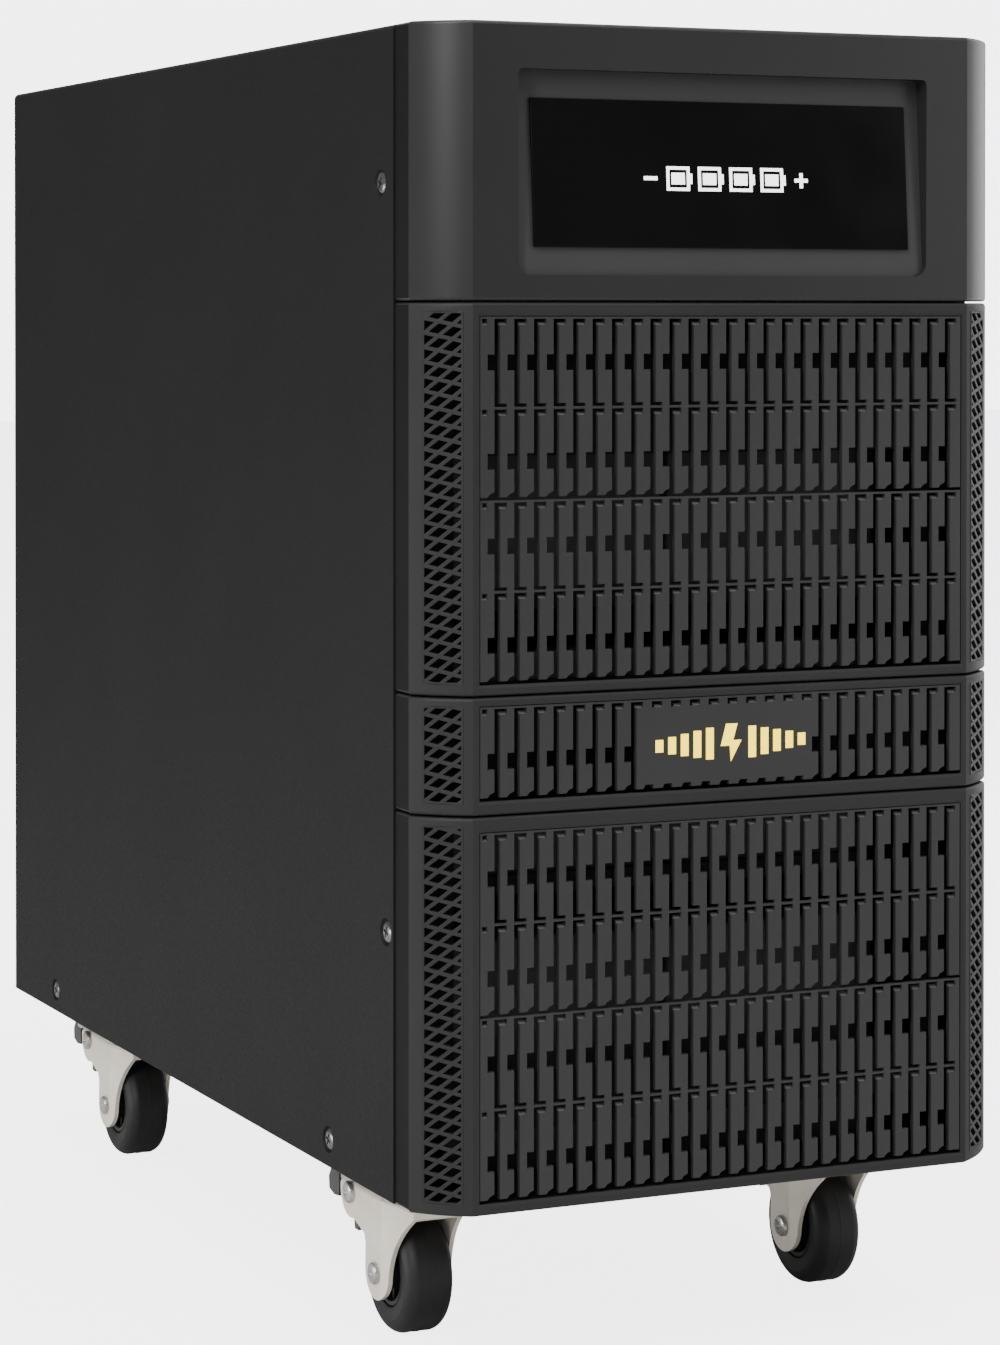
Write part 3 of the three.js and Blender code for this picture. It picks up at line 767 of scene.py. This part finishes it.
def slot_plates(node):
    """A module's slotted sheets, one for each pair of rows, and the ledges in their notches."""
    bottom, top = field_span(node)
    rows = FIELD_ROWS[node]
    row_height = (top - bottom) / rows
    pairs = max(rows // 2, 1)
    rows_each = rows // pairs
    first_notch = (FIELD_LEFT + SHEET_BORDER, FIELD_LEFT + NOTCH_WIDTH)
    sheets = []
    ledges = []
    for pair in range(pairs):
        sheet_top = top - pair * rows_each * row_height
        sheet_bottom = sheet_top - rows_each * row_height + SHEET_GAP
        holes = []
        indents = []
        for row in range(rows_each):
            last = row == rows_each - 1
            row_top = sheet_top - row * row_height - (ROW_RIB / 2 if row else SHEET_BORDER)
            row_bottom = sheet_bottom if last else sheet_top - (row + 1) * row_height + ROW_RIB / 2
            notch_bottom = row_top - TOP_NOTCH_HEIGHT
            holes.append(rectangle(*first_notch, notch_bottom, row_top))
            ledges.append(ledge(*first_notch, notch_bottom))
            for index in range(SLOT_COUNT):
                left = SLOT_FIRST + index * SLOT_PITCH
                ledges.append(ledge(left + SLOT_WIDTH, left + SLOT_WIDTH + NOTCH_WIDTH, notch_bottom))
                if node == "badge_strip" and index in BLANK_SLOTS:
                    holes.append(blank_notch(left, row_top))
                    indents += blank_foot(left, row_bottom)
                elif last:
                    indents += edge_slot(left, row_bottom, row_top)
                else:
                    holes.append(open_slot(left, row_bottom, row_top))
        corners = rectangle(FIELD_LEFT, FIELD_RIGHT, sheet_bottom, sheet_top)
        sheet = perforated([corners[0], *indents, *corners[1:]], holes, PLATE_THICKNESS, PLATE_EDGE)
        sheets.append(sheet)
    made = (gather(sheets), gather(ledges))
    for piece in made:
        piece.data.transform(front_place(PLATE_RECESS + PLATE_THICKNESS / 2))
    return made


def clip(points, axis, limit, keep_above):
    """Cuts a polygon with a line across one axis."""
    inside = [(p[axis] >= limit) == keep_above or p[axis] == limit for p in points]
    kept = []
    for index, point in enumerate(points):
        after = (index + 1) % len(points)
        if inside[index]:
            kept.append(point)
        if inside[index] != inside[after]:
            other = points[after]
            part = (limit - point[axis]) / (other[axis] - point[axis])
            kept.append(tuple(a + (b - a) * part for a, b in zip(point, other)))
    return kept


def lattice_holes(left, right, bottom, top):
    """The parallelogram openings between two sets of slanting bars, cut off at a rectangle."""
    step = LATTICE_PITCH
    span = LATTICE_RISE - LATTICE_FALL
    half_rise = LATTICE_BAR / 2 * math.hypot(1, LATTICE_RISE)
    half_fall = LATTICE_BAR / 2 * math.hypot(1, LATTICE_FALL)
    limits = ((0, left, True), (0, right, False), (1, bottom, True), (1, top, False))
    holes = []
    for column in range(-1, int((right - left) * span / step) + 2):
        for row in range(-8, int((top - bottom) / step) + 8):
            # Between rising bars row and row + 1, and falling bars row + column and row + column + 1.
            rises = (row * step + half_rise, (row + 1) * step - half_rise)
            falls = ((row + column) * step + half_fall, (row + column + 1) * step - half_fall)
            corners = []
            for rise, fall in ((0, 0), (0, 1), (1, 1), (1, 0)):
                across = (falls[fall] - rises[rise]) / span
                corners.append((left + across, bottom + rises[rise] + LATTICE_RISE * across))
            for axis, limit, above in limits:
                corners = clip(corners, axis, limit, above) if corners else corners
            if len(corners) > 2 and abs(signed_area(corners)) > 0.8:
                holes.append(corners)
    return holes


def lattice_span(node):
    low, high = box_mm(node)
    return low.z + LATTICE_BOTTOM_MARGIN, high.z - LATTICE_TOP_MARGIN


def lattice_sheet(node, side):
    """The bars that fill a facet's window, in a thin frame."""
    bottom, top = lattice_span(node)
    holes = lattice_holes(LATTICE_FROM, LATTICE_TO, bottom, top)
    outline = rectangle(LATTICE_FROM - 0.9, LATTICE_TO + 0.9, bottom - 0.9, top + 0.9)
    sheet = perforated(outline, holes, LATTICE_THICKNESS, 0.25)
    sheet.data.transform(facet_place(side, LATTICE_THICKNESS / 2 + 0.1))
    if side > 0:
        sheet.data.flip_normals()
    return sheet


def lattice_window(node, side):
    bottom, top = lattice_span(node)
    opening = rectangle(LATTICE_FROM - 0.6, LATTICE_TO + 0.6, bottom - 0.6, top + 0.6)
    return framed_cutter(opening, 0.2, 0.6, facet_place(side))


def paint_strip_shade(shell):
    """The recessed strips along the sides get a darker colour than the faces: painted shade in the recess."""
    low, _ = box_mm("top_bezel")
    shell.data.materials.append(FINISH["strip"])
    for face in shell.data.polygons:
        if abs(face.normal.x) > 0.9 and face.center.y > (low.y + CORNER_DEPTH) * MM:
            face.material_index = 1


def build_grille(node):
    bottom, top = field_span(node)
    opening = rectangle(FIELD_LEFT - 0.25, FIELD_RIGHT + 0.25, bottom - 0.25, top + 0.25)
    cutters = [framed_cutter(opening, FIELD_RIM, PLATE_RECESS, front_place())]
    cutters += [lattice_window(node, side) for side in SIDES]
    shell = cut(bezel_shell(node), *cutters)
    finish_piece(shell, node + "_shell", "grille", CABINET, (node,), 20)
    # Painted shade: a darker colour on the faces of the recessed side strips.
    paint_strip_shade(shell)
    sheets, ledges = slot_plates(node)
    finish_piece(sheets, node + "_slats", "slats", smooth=30)
    # The ledges carry a painted highlight: a lighter colour than the slats.
    finish_piece(ledges, node + "_ledges", "ledges", smooth=30)
    for side, word in zip(SIDES, ("left", "right")):
        sheet = lattice_sheet(node, side)
        finish_piece(sheet, f"{node}_lattice_{word}", "grille", smooth=30)


def pocket_cutter():
    """The window pocket: a rounded outline whose floor leans back towards the top."""
    low, high = box_mm("top_bezel")
    top = high.z - POCKET_BELOW_TOP
    bottom = top - POCKET_HEIGHT
    outline = arc(POCKET_HALF - POCKET_CORNER, bottom + POCKET_CORNER, POCKET_CORNER, -90, 0, 6)
    outline += arc(POCKET_HALF - 2, top - 2, 2, 0, 90, 4)
    outline += arc(-POCKET_HALF + 2, top - 2, 2, 90, 180, 4)
    outline += arc(-POCKET_HALF + POCKET_CORNER, bottom + POCKET_CORNER, POCKET_CORNER, 180, 270, 6)
    bm = bmesh.new()
    front = [bm.verts.new((x, low.y - 3, z)) for x, z in outline]
    floor = []
    for x, z in outline:
        part = (z - bottom) / POCKET_HEIGHT
        depth = POCKET_DEPTH_BOTTOM + (POCKET_DEPTH_TOP - POCKET_DEPTH_BOTTOM) * part
        floor.append(bm.verts.new((x * 0.992, low.y + depth, z)))
    bm.faces.new(front)
    bm.faces.new(floor)
    stitch(bm, front, floor)
    return as_object("pocket", bm)


def build_top_bezel():
    low, high = box_mm("top_bezel")
    half = POCKET_HALF + BEZEL_WALL
    pocket_wall = block((-half, low.y + 1, low.z + 1), (half, low.y + POCKET_WALL_BACK, high.z - 1))
    shell = cut(bezel_shell("top_bezel", pocket_wall), pocket_cutter())
    finish_piece(shell, "top_bezel_shell", "bezel", CABINET, ("top_bezel",), 20)
    # Painted shade: a darker colour on the faces of the recessed side strips.
    paint_strip_shade(shell)
    # Painted light: the pocket's leaning floor, which faces up, gets a lighter colour than the bezel.
    shell.data.materials.append(FINISH["pocket"])
    for face in shell.data.polygons:
        leans_back = face.normal.y < -0.9 and face.normal.z > 0.03
        if leans_back and abs(face.center.x) < POCKET_HALF * MM:
            face.material_index = 2


def window_place():
    """Puts a mark drawn in XY on the face of the leaning window, with +Z facing out."""
    low, high = box_mm("window_panel")
    lean = math.atan2(POCKET_DEPTH_TOP - POCKET_DEPTH_BOTTOM, POCKET_HEIGHT)
    turn = Matrix.Rotation(math.radians(90) - lean, 4, "X")
    turn.translation = ((low.x + high.x) / 2, low.y, low.z)
    return turn


def cell_mark(width, height):
    """One battery cell seen from the side: an outline with a terminal, as (outline, holes)."""
    line = height * 0.13
    terminal = height * 0.42
    nub = width * 0.1
    case = width - nub
    below = (height - terminal) / 2
    above = (height + terminal) / 2
    outline = [(0, 0), (case, 0), (case, below), (width, below)]
    outline += [(width, above), (case, above), (case, height), (0, height)]
    hole = rectangle(line, case - line, line, height - line)
    return outline, [hole]


def mark_sheet(outline, holes, x, y, place):
    shifted = [[(a + x, b + y) for a, b in points] for points in (outline, *holes)]
    sheet = perforated(shifted[0], shifted[1:], 0.16, 0.03)
    sheet.data.transform(place)
    return sheet


def cross_outline(size, line):
    near = (size - line) / 2
    far = (size + line) / 2
    return [
        (near, 0), (far, 0), (far, near), (size, near), (size, far), (far, far),
        (far, size), (near, size), (near, far), (0, far), (0, near), (near, near),
    ]


def build_window():
    low, high = box_mm("window_panel")
    softened_node("window_panel", "window_face", "window", width=0.35)
    place = window_place() @ Matrix.Translation((0, 0, 0.05))
    base = (high.z - low.z) * 0.39
    middle = base + CELL_HEIGHT / 2
    minus = rectangle(0, SIGN_SIZE, 0, SIGN_LINE)
    sheets = [mark_sheet(minus, [], SYMBOLS_LEFT, middle - SIGN_LINE / 2, place)]
    outline, holes = cell_mark(CELL_WIDTH, CELL_HEIGHT)
    charge = rectangle(0, CELL_WIDTH * 0.52, 0, CELL_HEIGHT * 0.48)
    x = SYMBOLS_LEFT + SIGN_SIZE + 4
    for _ in range(CELL_COUNT):
        sheets.append(mark_sheet(outline, holes, x, base, place))
        sheets.append(mark_sheet(charge, [], x + CELL_WIDTH * 0.19, base + CELL_HEIGHT * 0.26, place))
        x += CELL_WIDTH + CELL_GAP
    plus = cross_outline(SIGN_SIZE, SIGN_LINE)
    sheets.append(mark_sheet(plus, [], x + 1.5, middle - SIGN_SIZE / 2, place))
    finish_piece(gather(sheets), "window_symbols", "white_print", smooth=30)


def bolt_outline(height):
    """A plain lightning stroke."""
    return [
        (height * 0.30, 0), (height * 0.62, height * 0.56), (height * 0.37, height * 0.56),
        (height * 0.50, height), (height * 0.16, height), (0, height * 0.42), (height * 0.27, height * 0.42),
    ]


def build_badge_mark():
    """A lightning stroke between two runs of bars that grow towards it."""
    low, high = box_mm("badge_strip")
    place = front_place(PLATE_RECESS - 0.06)
    middle = (low.z + high.z) / 2 + 0.4
    stroke = bolt_outline(STROKE_HEIGHT)
    left = BADGE_CENTRE - STROKE_HEIGHT * 0.31
    sheets = [mark_sheet(stroke, [], left, middle - STROKE_HEIGHT / 2, place)]
    for side in SIDES:
        for index in range(BAR_COUNT):
            height = 12.5 - index * 1.9
            x = BADGE_CENTRE + side * (9.5 + index * BAR_PITCH) - BAR_WIDTH / 2
            bar = rectangle(0, BAR_WIDTH, 0, height)
            sheets.append(mark_sheet(bar, [], x, middle - height / 2, place))
    finish_piece(gather(sheets), "badge_symbol", "yellow_print", smooth=30)


# ---------------------------------------------------------------- cabinet

def pan_screw(axis, side, centre, radius=SCREW_RADIUS, height=1.5):
    """A domed screw head with a cross recess, facing out along X to either side, or back along Y."""
    profile = [(0, 0), (radius, 0), (radius, height * 0.35), (radius * 0.86, height * 0.75)]
    profile += [(radius * 0.6, height * 0.95), (0, height)]
    head = turned(profile, axis, (0, 0, 0), 24)
    blades = []
    reach = radius * 0.55
    half = radius * 0.12
    for turn in (0, 90):
        blade = block((-reach, -half, height * 0.4), (reach, half, height + 1))
        blade.data.transform(Matrix.Rotation(math.radians(turn + 20), 4, "Z"))
        if axis == "x":
            blade.data.transform(Matrix.Rotation(math.radians(90), 4, "Y"))
        elif axis == "y":
            blade.data.transform(Matrix.Rotation(math.radians(-90), 4, "X"))
        blades.append(blade)
    cut(head, blades[0])
    cut(head, blades[1])
    if side < 0:
        mirror(head)
    return moved(head, *centre)


def build_cover():
    """The folded cover: one sheet over the top and both sides, with dimples for its screws."""
    low, high = box_mm("cover")
    sheet = 1.5
    bend = 2.6
    outer = bent_section(low.x, high.x, low.z, high.z, bend, 6)
    inner = bent_section(low.x + sheet, high.x - sheet, low.z, high.z - sheet, bend - sheet, 6)
    cover = prism(outer + inner[::-1], low.y, high.y, "y")
    wide = SCREW_RADIUS + 1.4
    hollow = [(0, -1.2), (SCREW_RADIUS + 0.5, -1.2), (wide, 0), (wide, 3), (0, 3)]
    screws = []
    dimples = []
    for side in SIDES:
        face = side * high.x
        for y, z in COVER_SCREWS:
            dimple = turned(hollow, "x", (0, 0, 0), 28)
            if side < 0:
                mirror(dimple)
            dimples.append(moved(dimple, face, y, z))
            screws.append(pan_screw("x", side, (face - side * 1.25, y, z), height=1.2))
    soften(cover, 0.4, 2)
    cut(cover, *dimples)
    finish_piece(cover, "cover_shell", "cover", replaces=("cover",))
    finish_piece(gather(screws), "cover_screws", "screw")


def build_inside():
    for node in ("front_frame", "base_tray", "shelf_1", "shelf_2", "shelf_3", "battery_retainer"):
        softened_node(node, node + "_sheet", "chassis", width=0.3)
    for index in range(1, 17):
        node = f"battery_block_{index:02d}"
        softened_node(node, node + "_case", "battery", width=2)
    for node, colour in (("positive_lead", "red"), ("negative_lead", "black")):
        finish = colour + "_lead"
        softened_node(node, node + "_jacket", finish, width=0.1, smooth=60)


def build_rear():
    softened_node("rear_panel", "rear_panel_sheet", "cover", width=0.4)
    softened_node("breaker_body", "breaker_case", "breaker", width=0.8)
    body = "breaker_toggle"
    softened_node("breaker_lever", "breaker_toggle", "lever", body, width=0.8)
    for node in ("dc_connector_1", "dc_connector_2"):
        softened_node(node, node + "_shell", "socket", width=0.7)
    softened_node("ground_stud", "ground_stud_set", "brass", width=0.3)
    low, high = box_mm("rear_panel")
    screws = []
    for x in (low.x + 9, high.x - 9):
        for z in (low.z + 14, (low.z + high.z) / 2, high.z - 14):
            screws.append(pan_screw("y", 1, (x, high.y + 0.05, z), radius=3.6))
    finish_piece(gather(screws), "rear_panel_screws", "screw")


# ---------------------------------------------------------------- casters

def domed_head(radius, height, side, place):
    """A rivet head that bulges away from a fork leg, with a small centre dimple."""
    profile = [(0, 0), (radius, 0), (radius, height * 0.45), (radius * 0.9, height * 0.78)]
    profile += [(radius * 0.62, height), (radius * 0.3, height)]
    profile += [(radius * 0.22, height * 0.8), (0, height * 0.8)]
    return turned([(r, along * side) for r, along in profile], "x", place, 28)


def build_rivet(node, name, body, pin_radius, head_radius):
    """A rivet through the fork, between two domed heads."""
    low, high = box_mm(node)
    axle = Vector(((low.x + high.x) / 2, (low.y + high.y) / 2, (low.z + high.z) / 2))
    head = high.x - axle.x
    pin = rod(pin_radius, 1 - head, head - 1, "x", axle)
    heads = []
    for side in SIDES:
        heads.append(domed_head(head_radius, 2, side, axle + Vector((side * (head - 2), 0, 0))))
    finish_piece(join(pin, *heads), name, "bolt", body, (node,))


def fork_side(low, high, axle, pivot):
    """The side view of the fork: foot, front edge sweeping up to the lip, and ear at the back."""
    side = arc(axle.y, axle.z, LEG_RADIUS, 0, -180, 20)
    start = Vector((axle.y - LEG_RADIUS, axle.z))
    control = Vector((axle.y - 13, 41))
    end = Vector((low.y, high.z - FORK_LIP + 0.8))
    for step in range(1, 11):
        part = step / 10
        side.append((start * (1 - part) ** 2 + control * 2 * part * (1 - part) + end * part ** 2)[:])
    side.append((low.y, high.z + 3))
    side.append((pivot.y + EAR_RADIUS * math.cos(math.radians(29)), high.z + 3))
    side += arc(pivot.y, pivot.z, EAR_RADIUS, 29, -109, 18)
    return side + [(axle.y + 12, 38.5), (axle.y + LEG_RADIUS - 0.4, 35)]


def build_fork(place, kingpin, axle, pivot):
    """Bent sheet: two legs, the crown between them and a turned down lip along the crown's front."""
    node = f"caster_{place}_fork"
    low, high = box_mm(node)
    left = low.x + FORK_SHEET
    right = high.x - FORK_SHEET
    fork = prism(bent_section(low.x, high.x, low.z - 2, high.z, FORK_BEND, 6), low.y - 2, high.y + 2, "y")
    inner = bent_section(left, right, low.z - 4, high.z - FORK_CROWN, FORK_INSIDE_BEND, 4)
    hollow = prism(inner, low.y + FORK_SHEET, high.y + 4, "y")
    under_lip = block((left, low.y - 4, low.z - 4), (right, low.y + FORK_SHEET + 1, high.z - FORK_LIP))
    behind = block((left, kingpin.y + 22, low.z - 4), (right, high.y + 4, high.z + 4))
    cut(fork, hollow, under_lip, behind)
    keep(fork, prism(fork_side(low, high, axle, pivot), low.x - 5, high.x + 5, "x"))
    reach = (high.x - low.x) / 2 + 2
    bores = [
        rod(3.4, -reach, reach, "x", axle),
        rod(2.9, -reach, reach, "x", (axle.x, pivot.y, pivot.z)),
        rod(4.9, high.z - 4, high.z + 2, "z", (kingpin.x, kingpin.y, 0), 32),
    ]
    cut(fork, *bores)
    bevel_fork(fork, (low.x + high.x) / 2, axle.y - 6)
    body = f"swivel_{place}"
    finish_piece(fork, f"caster_{place}_fork_sheet", "fork", body, (node,))


def bevel_fork(fork, middle, crease):
    """Rounds the sheet's cut edges and bends the front of both legs inwards along an upright crease."""
    soften(fork, 0.45, 2, 40)
    bm = bmesh.new()
    bm.from_mesh(fork.data)
    for offset in (-1.5, 0, 1.5):
        everything = bm.verts[:] + bm.edges[:] + bm.faces[:]
        bmesh.ops.bisect_plane(bm, geom=everything, plane_co=(0, crease + offset, 0), plane_no=(0, 1, 0))
    for vert in bm.verts:
        ahead = crease + 1.5 - vert.co.y
        if ahead > 0 and abs(vert.co.x - middle) > 4:
            eased = min(ahead, ahead * ahead / 3)
            vert.co.x -= math.copysign(LEG_LEAN * eased, vert.co.x - middle)
    bm.to_mesh(fork.data)
    bm.free()


def build_plate(place, kingpin):
    """The mounting plate with its corner bolts, the ball race below it and the kingpin."""
    node = f"caster_{place}_plate"
    low, high = box_mm(node)
    plate = prism(rounded_rectangle(low.x, high.x, low.y, high.y, 5), high.z - 3, high.z)
    soften(plate, 0.5, 2)
    fork_top = box_mm(f"caster_{place}_fork")[1].z
    underside = high.z - 3
    centre = (kingpin.x, kingpin.y, 0)
    bowl = [(0, 0.5), (22, 0.5), (22, -0.6), (20.8, -2.6), (18.4, -4.2), (17, -4.6)]
    bowl = [(radius, underside + rise) for radius, rise in bowl]
    race = turned(bowl + [(17, fork_top + 1.6), (16.2, fork_top + 0.3), (0, fork_top + 0.3)], "z", centre, 56)
    head = [(0, 0), (5.4, 0), (7.1, 0.7), (7.5, 1.4), (7.5, 2.4), (4.5, 2.4)]
    head = [(radius, low.z + rise) for radius, rise in head]
    pin = turned(head + [(4.5, underside), (0, underside)], "z", centre, 32)
    body = join(plate, race, pin)
    finish_piece(body, node + "_race", "race", replaces=(node,))
    bolts = []
    for x in (low.x + 7.5, high.x - 7.5):
        for y in (low.y + 7, high.y - 7):
            if math.hypot(x - kingpin.x, y - kingpin.y) < 26:
                continue
            hexagon = arc(x, y, 5.0, 30, 330, 5)
            bolts.append(soften(prism(hexagon, underside - 3.4, underside - 0.02), 0.4, 2))
    finish_piece(gather(bolts), node + "_bolts", "bolt")


def build_wheel(place, axle):
    node = f"caster_{place}_tyre"
    low, high = box_mm(node)
    half = (high.x - low.x) / 2
    radius = (high.z - low.z) / 2
    seam = 0.22
    inner = 14.3
    outer_half = [(inner, half - 1.2), (inner + 1.2, half - 0.5), (radius - 5.4, half)]
    outer_half += [(radius - 6 + dx, half - 6 + dy) for dx, dy in arc(0, 0, 6, 90, 8, 9)][1:]
    outer_half += [(radius - seam, 1.0), (radius, 0.5)]
    profile = [(r, x) for r, x in outer_half] + [(r, -x) for r, x in reversed(outer_half)]
    tyre = turned(profile, "x", axle, 96)
    body = f"wheel_{place}"
    finish_piece(tyre, node + "_tread", "rubber", body, (node,))
    rim = inner - 0.3
    hub_half = box_mm(f"caster_{place}_hub")[1].x - axle.x
    side = [
        (3.4, hub_half), (6.2, hub_half), (7, hub_half - 0.8), (7.4, 4.6), (rim - 3.2, 4.2),
        (rim - 2.6, half - 2.2), (rim - 2, half - 1.4), (rim - 0.6, half - 1.3), (rim, half - 1.9),
    ]
    profile = side + [(r, -x) for r, x in reversed(side)]
    hub = turned(profile, "x", axle, 72)
    ribs = []
    for index in range(6):
        angle = math.tau * index / 6
        rib = block((-half + 3.4, -0.8, 6.6), (half - 3.4, 0.8, rim - 2.2))
        rib.data.transform(Matrix.Translation(axle) @ Matrix.Rotation(angle, 4, "X"))
        ribs.append(rib)
    join(hub, *ribs)
    node = f"caster_{place}_hub"
    finish_piece(hub, node + "_core", "hub", body, (node,))


def build_pedal(place, pivot):
    """The brake pedal: a moulded arm and ribbed tread, with a steel pivot rivet."""
    node = f"caster_{place}_pedal"
    _, high = box_mm(node)
    half = 15.0
    arm_half = 12.4
    arm = [
        (-14, 8), (14, 8.2), (14, -4.5), (6, -5.5), (3, -9), (1.5, -15.8),
        (-2.5, -15.8), (-4.5, -10), (-6, -3), (-14, 5.5),
    ]
    tread = [(12.5, 8.2), (16, 8.2), (21, 6), (24, 1.7), (23.5, -3.3), (18, -5), (12.5, -4.5)]
    arm_piece = moved(prism(arm, -arm_half, arm_half, "x"), *pivot)
    tread_piece = moved(prism(tread, -half, half, "x"), *pivot)
    body = join(arm_piece, tread_piece)
    grooves = []
    for index in range(4):
        y = pivot.y + 15.2 + index * 2.3
        z = pivot.z + 8.2 - max(0, index - 0.4) * 1.05
        grooves.append(block((pivot.x - half + 2, y, z - 0.5), (pivot.x + half - 2, y + 0.9, z + 4)))
    cut(body, *grooves)
    soften(body, 0.6, 2, 25)
    brake = f"brake_{place}"
    finish_piece(body, node + "_moulding", "pedal", brake, (node,))
    reach = high.x - pivot.x
    ends = []
    for side in SIDES:
        pin = rod(2.5, arm_half - 0.2, reach - 1, "x", (0, 0, 0))
        if side < 0:
            mirror(pin)
        head = domed_head(4.6, 2, side, (pivot.x + side * (reach - 2), pivot.y, pivot.z))
        ends.append(join(head, moved(pin, *pivot)))
    finish_piece(gather(ends), node + "_rivet", "bolt", brake)


def build_casters():
    for place in PLACES:
        kingpin = joint_point(f"{place}_swivel")
        axle = joint_point(f"{place}_wheel_spin")
        pivot = joint_point(f"{place}_brake_press")
        build_plate(place, kingpin)
        build_fork(place, kingpin, axle, pivot)
        build_wheel(place, axle)
        build_rivet(f"caster_{place}_axle", f"caster_{place}_axle_rivet", f"swivel_{place}", 3.0, 4.5)
        build_pedal(place, pivot)


# ---------------------------------------------------------------- studio

def build_camera():
    data = bpy.data.cameras.new("camera")
    data.lens = CAMERA_LENS
    data.sensor_width = 36
    data.shift_x, data.shift_y = CAMERA_SHIFT
    camera = linked("camera", data)
    camera.location = Vector(CAMERA_PLACE) * MM
    camera.rotation_euler = (math.radians(90 + CAMERA_PITCH), 0, math.radians(-CAMERA_YAW))
    bpy.context.scene.camera = camera


def area_light(name, place, target, size, power):
    data = bpy.data.lights.new(name, "AREA")
    data.shape = "RECTANGLE"
    data.size, data.size_y = size
    data.energy = power
    light = linked(name, data)
    light.location = place
    light.rotation_euler = (Vector(target) - Vector(place)).to_track_quat("-Z", "Y").to_euler()


def drive_by_ray(tree, hidden, seen, socket):
    """Gives a socket one value where the camera sees it directly, and another for all other light."""
    rays = add_node(tree, "LightPath", {})
    made = add_node(tree, "MapRange", {"To Min": hidden, "To Max": seen})
    tree.links.new(rays.outputs["Is Camera Ray"], made.inputs["Value"])
    tree.links.new(made.outputs["Result"], socket)


def build_world():
    """A soft studio sky that lights the object gently and looks white behind it."""
    world = bpy.data.worlds.new("studio")
    world.use_nodes = True
    tree = world.node_tree
    background = set_inputs(tree.nodes["Background"], {"Color": rgba(1)})
    drive_by_ray(tree, SKY_LIGHT, SKY_SEEN, background.inputs["Strength"])
    bpy.context.scene.world = world


def softbox(name, azimuth, distance, height, size, brightness):
    """A panel of light facing the object. Azimuth 0 is in front of it and 90 to its right."""
    turn = math.radians(azimuth)
    place = (distance * math.sin(turn), -distance * math.cos(turn), height)
    power = brightness * math.pi * size[0] * size[1]
    area_light(name, place, (0, 0, min(height, 0.35)), size, power)


def floor_paper():
    """White paper that also glows to the camera, so that only a faint shadow shows on it."""
    material, tree, shader, _ = new_material("floor_paper")
    set_inputs(shader, {
        "Base Color": rgba(0.7),
        "Roughness": 0.9,
        "Specular IOR Level": 0.1,
        "Emission Color": rgba(1),
    })
    drive_by_ray(tree, 0, FLOOR_GLOW, shader.inputs["Emission Strength"])
    return material


def build_studio():
    build_world()
    for panel in SOFTBOXES:
        softbox(*panel)
    area_light("overhead", (0, -0.7, 2.4), (0, -0.2, 0), (2.4, 2.4), 60)
    bm = bmesh.new()
    corners = rectangle(-FLOOR_REACH, FLOOR_REACH, -FLOOR_REACH, FLOOR_REACH)
    bm.faces.new([bm.verts.new((x, y, -FLOOR_DROP)) for x, y in corners])
    floor = linked("floor", mesh_from("floor", bm))
    floor.data.materials.append(floor_paper())


build_camera()
build_studio()
build_top_bezel()
build_window()
for grille in ("upper_grille", "badge_strip", "lower_grille"):
    build_grille(grille)
build_badge_mark()
build_cover()
build_inside()
build_rear()
build_casters()
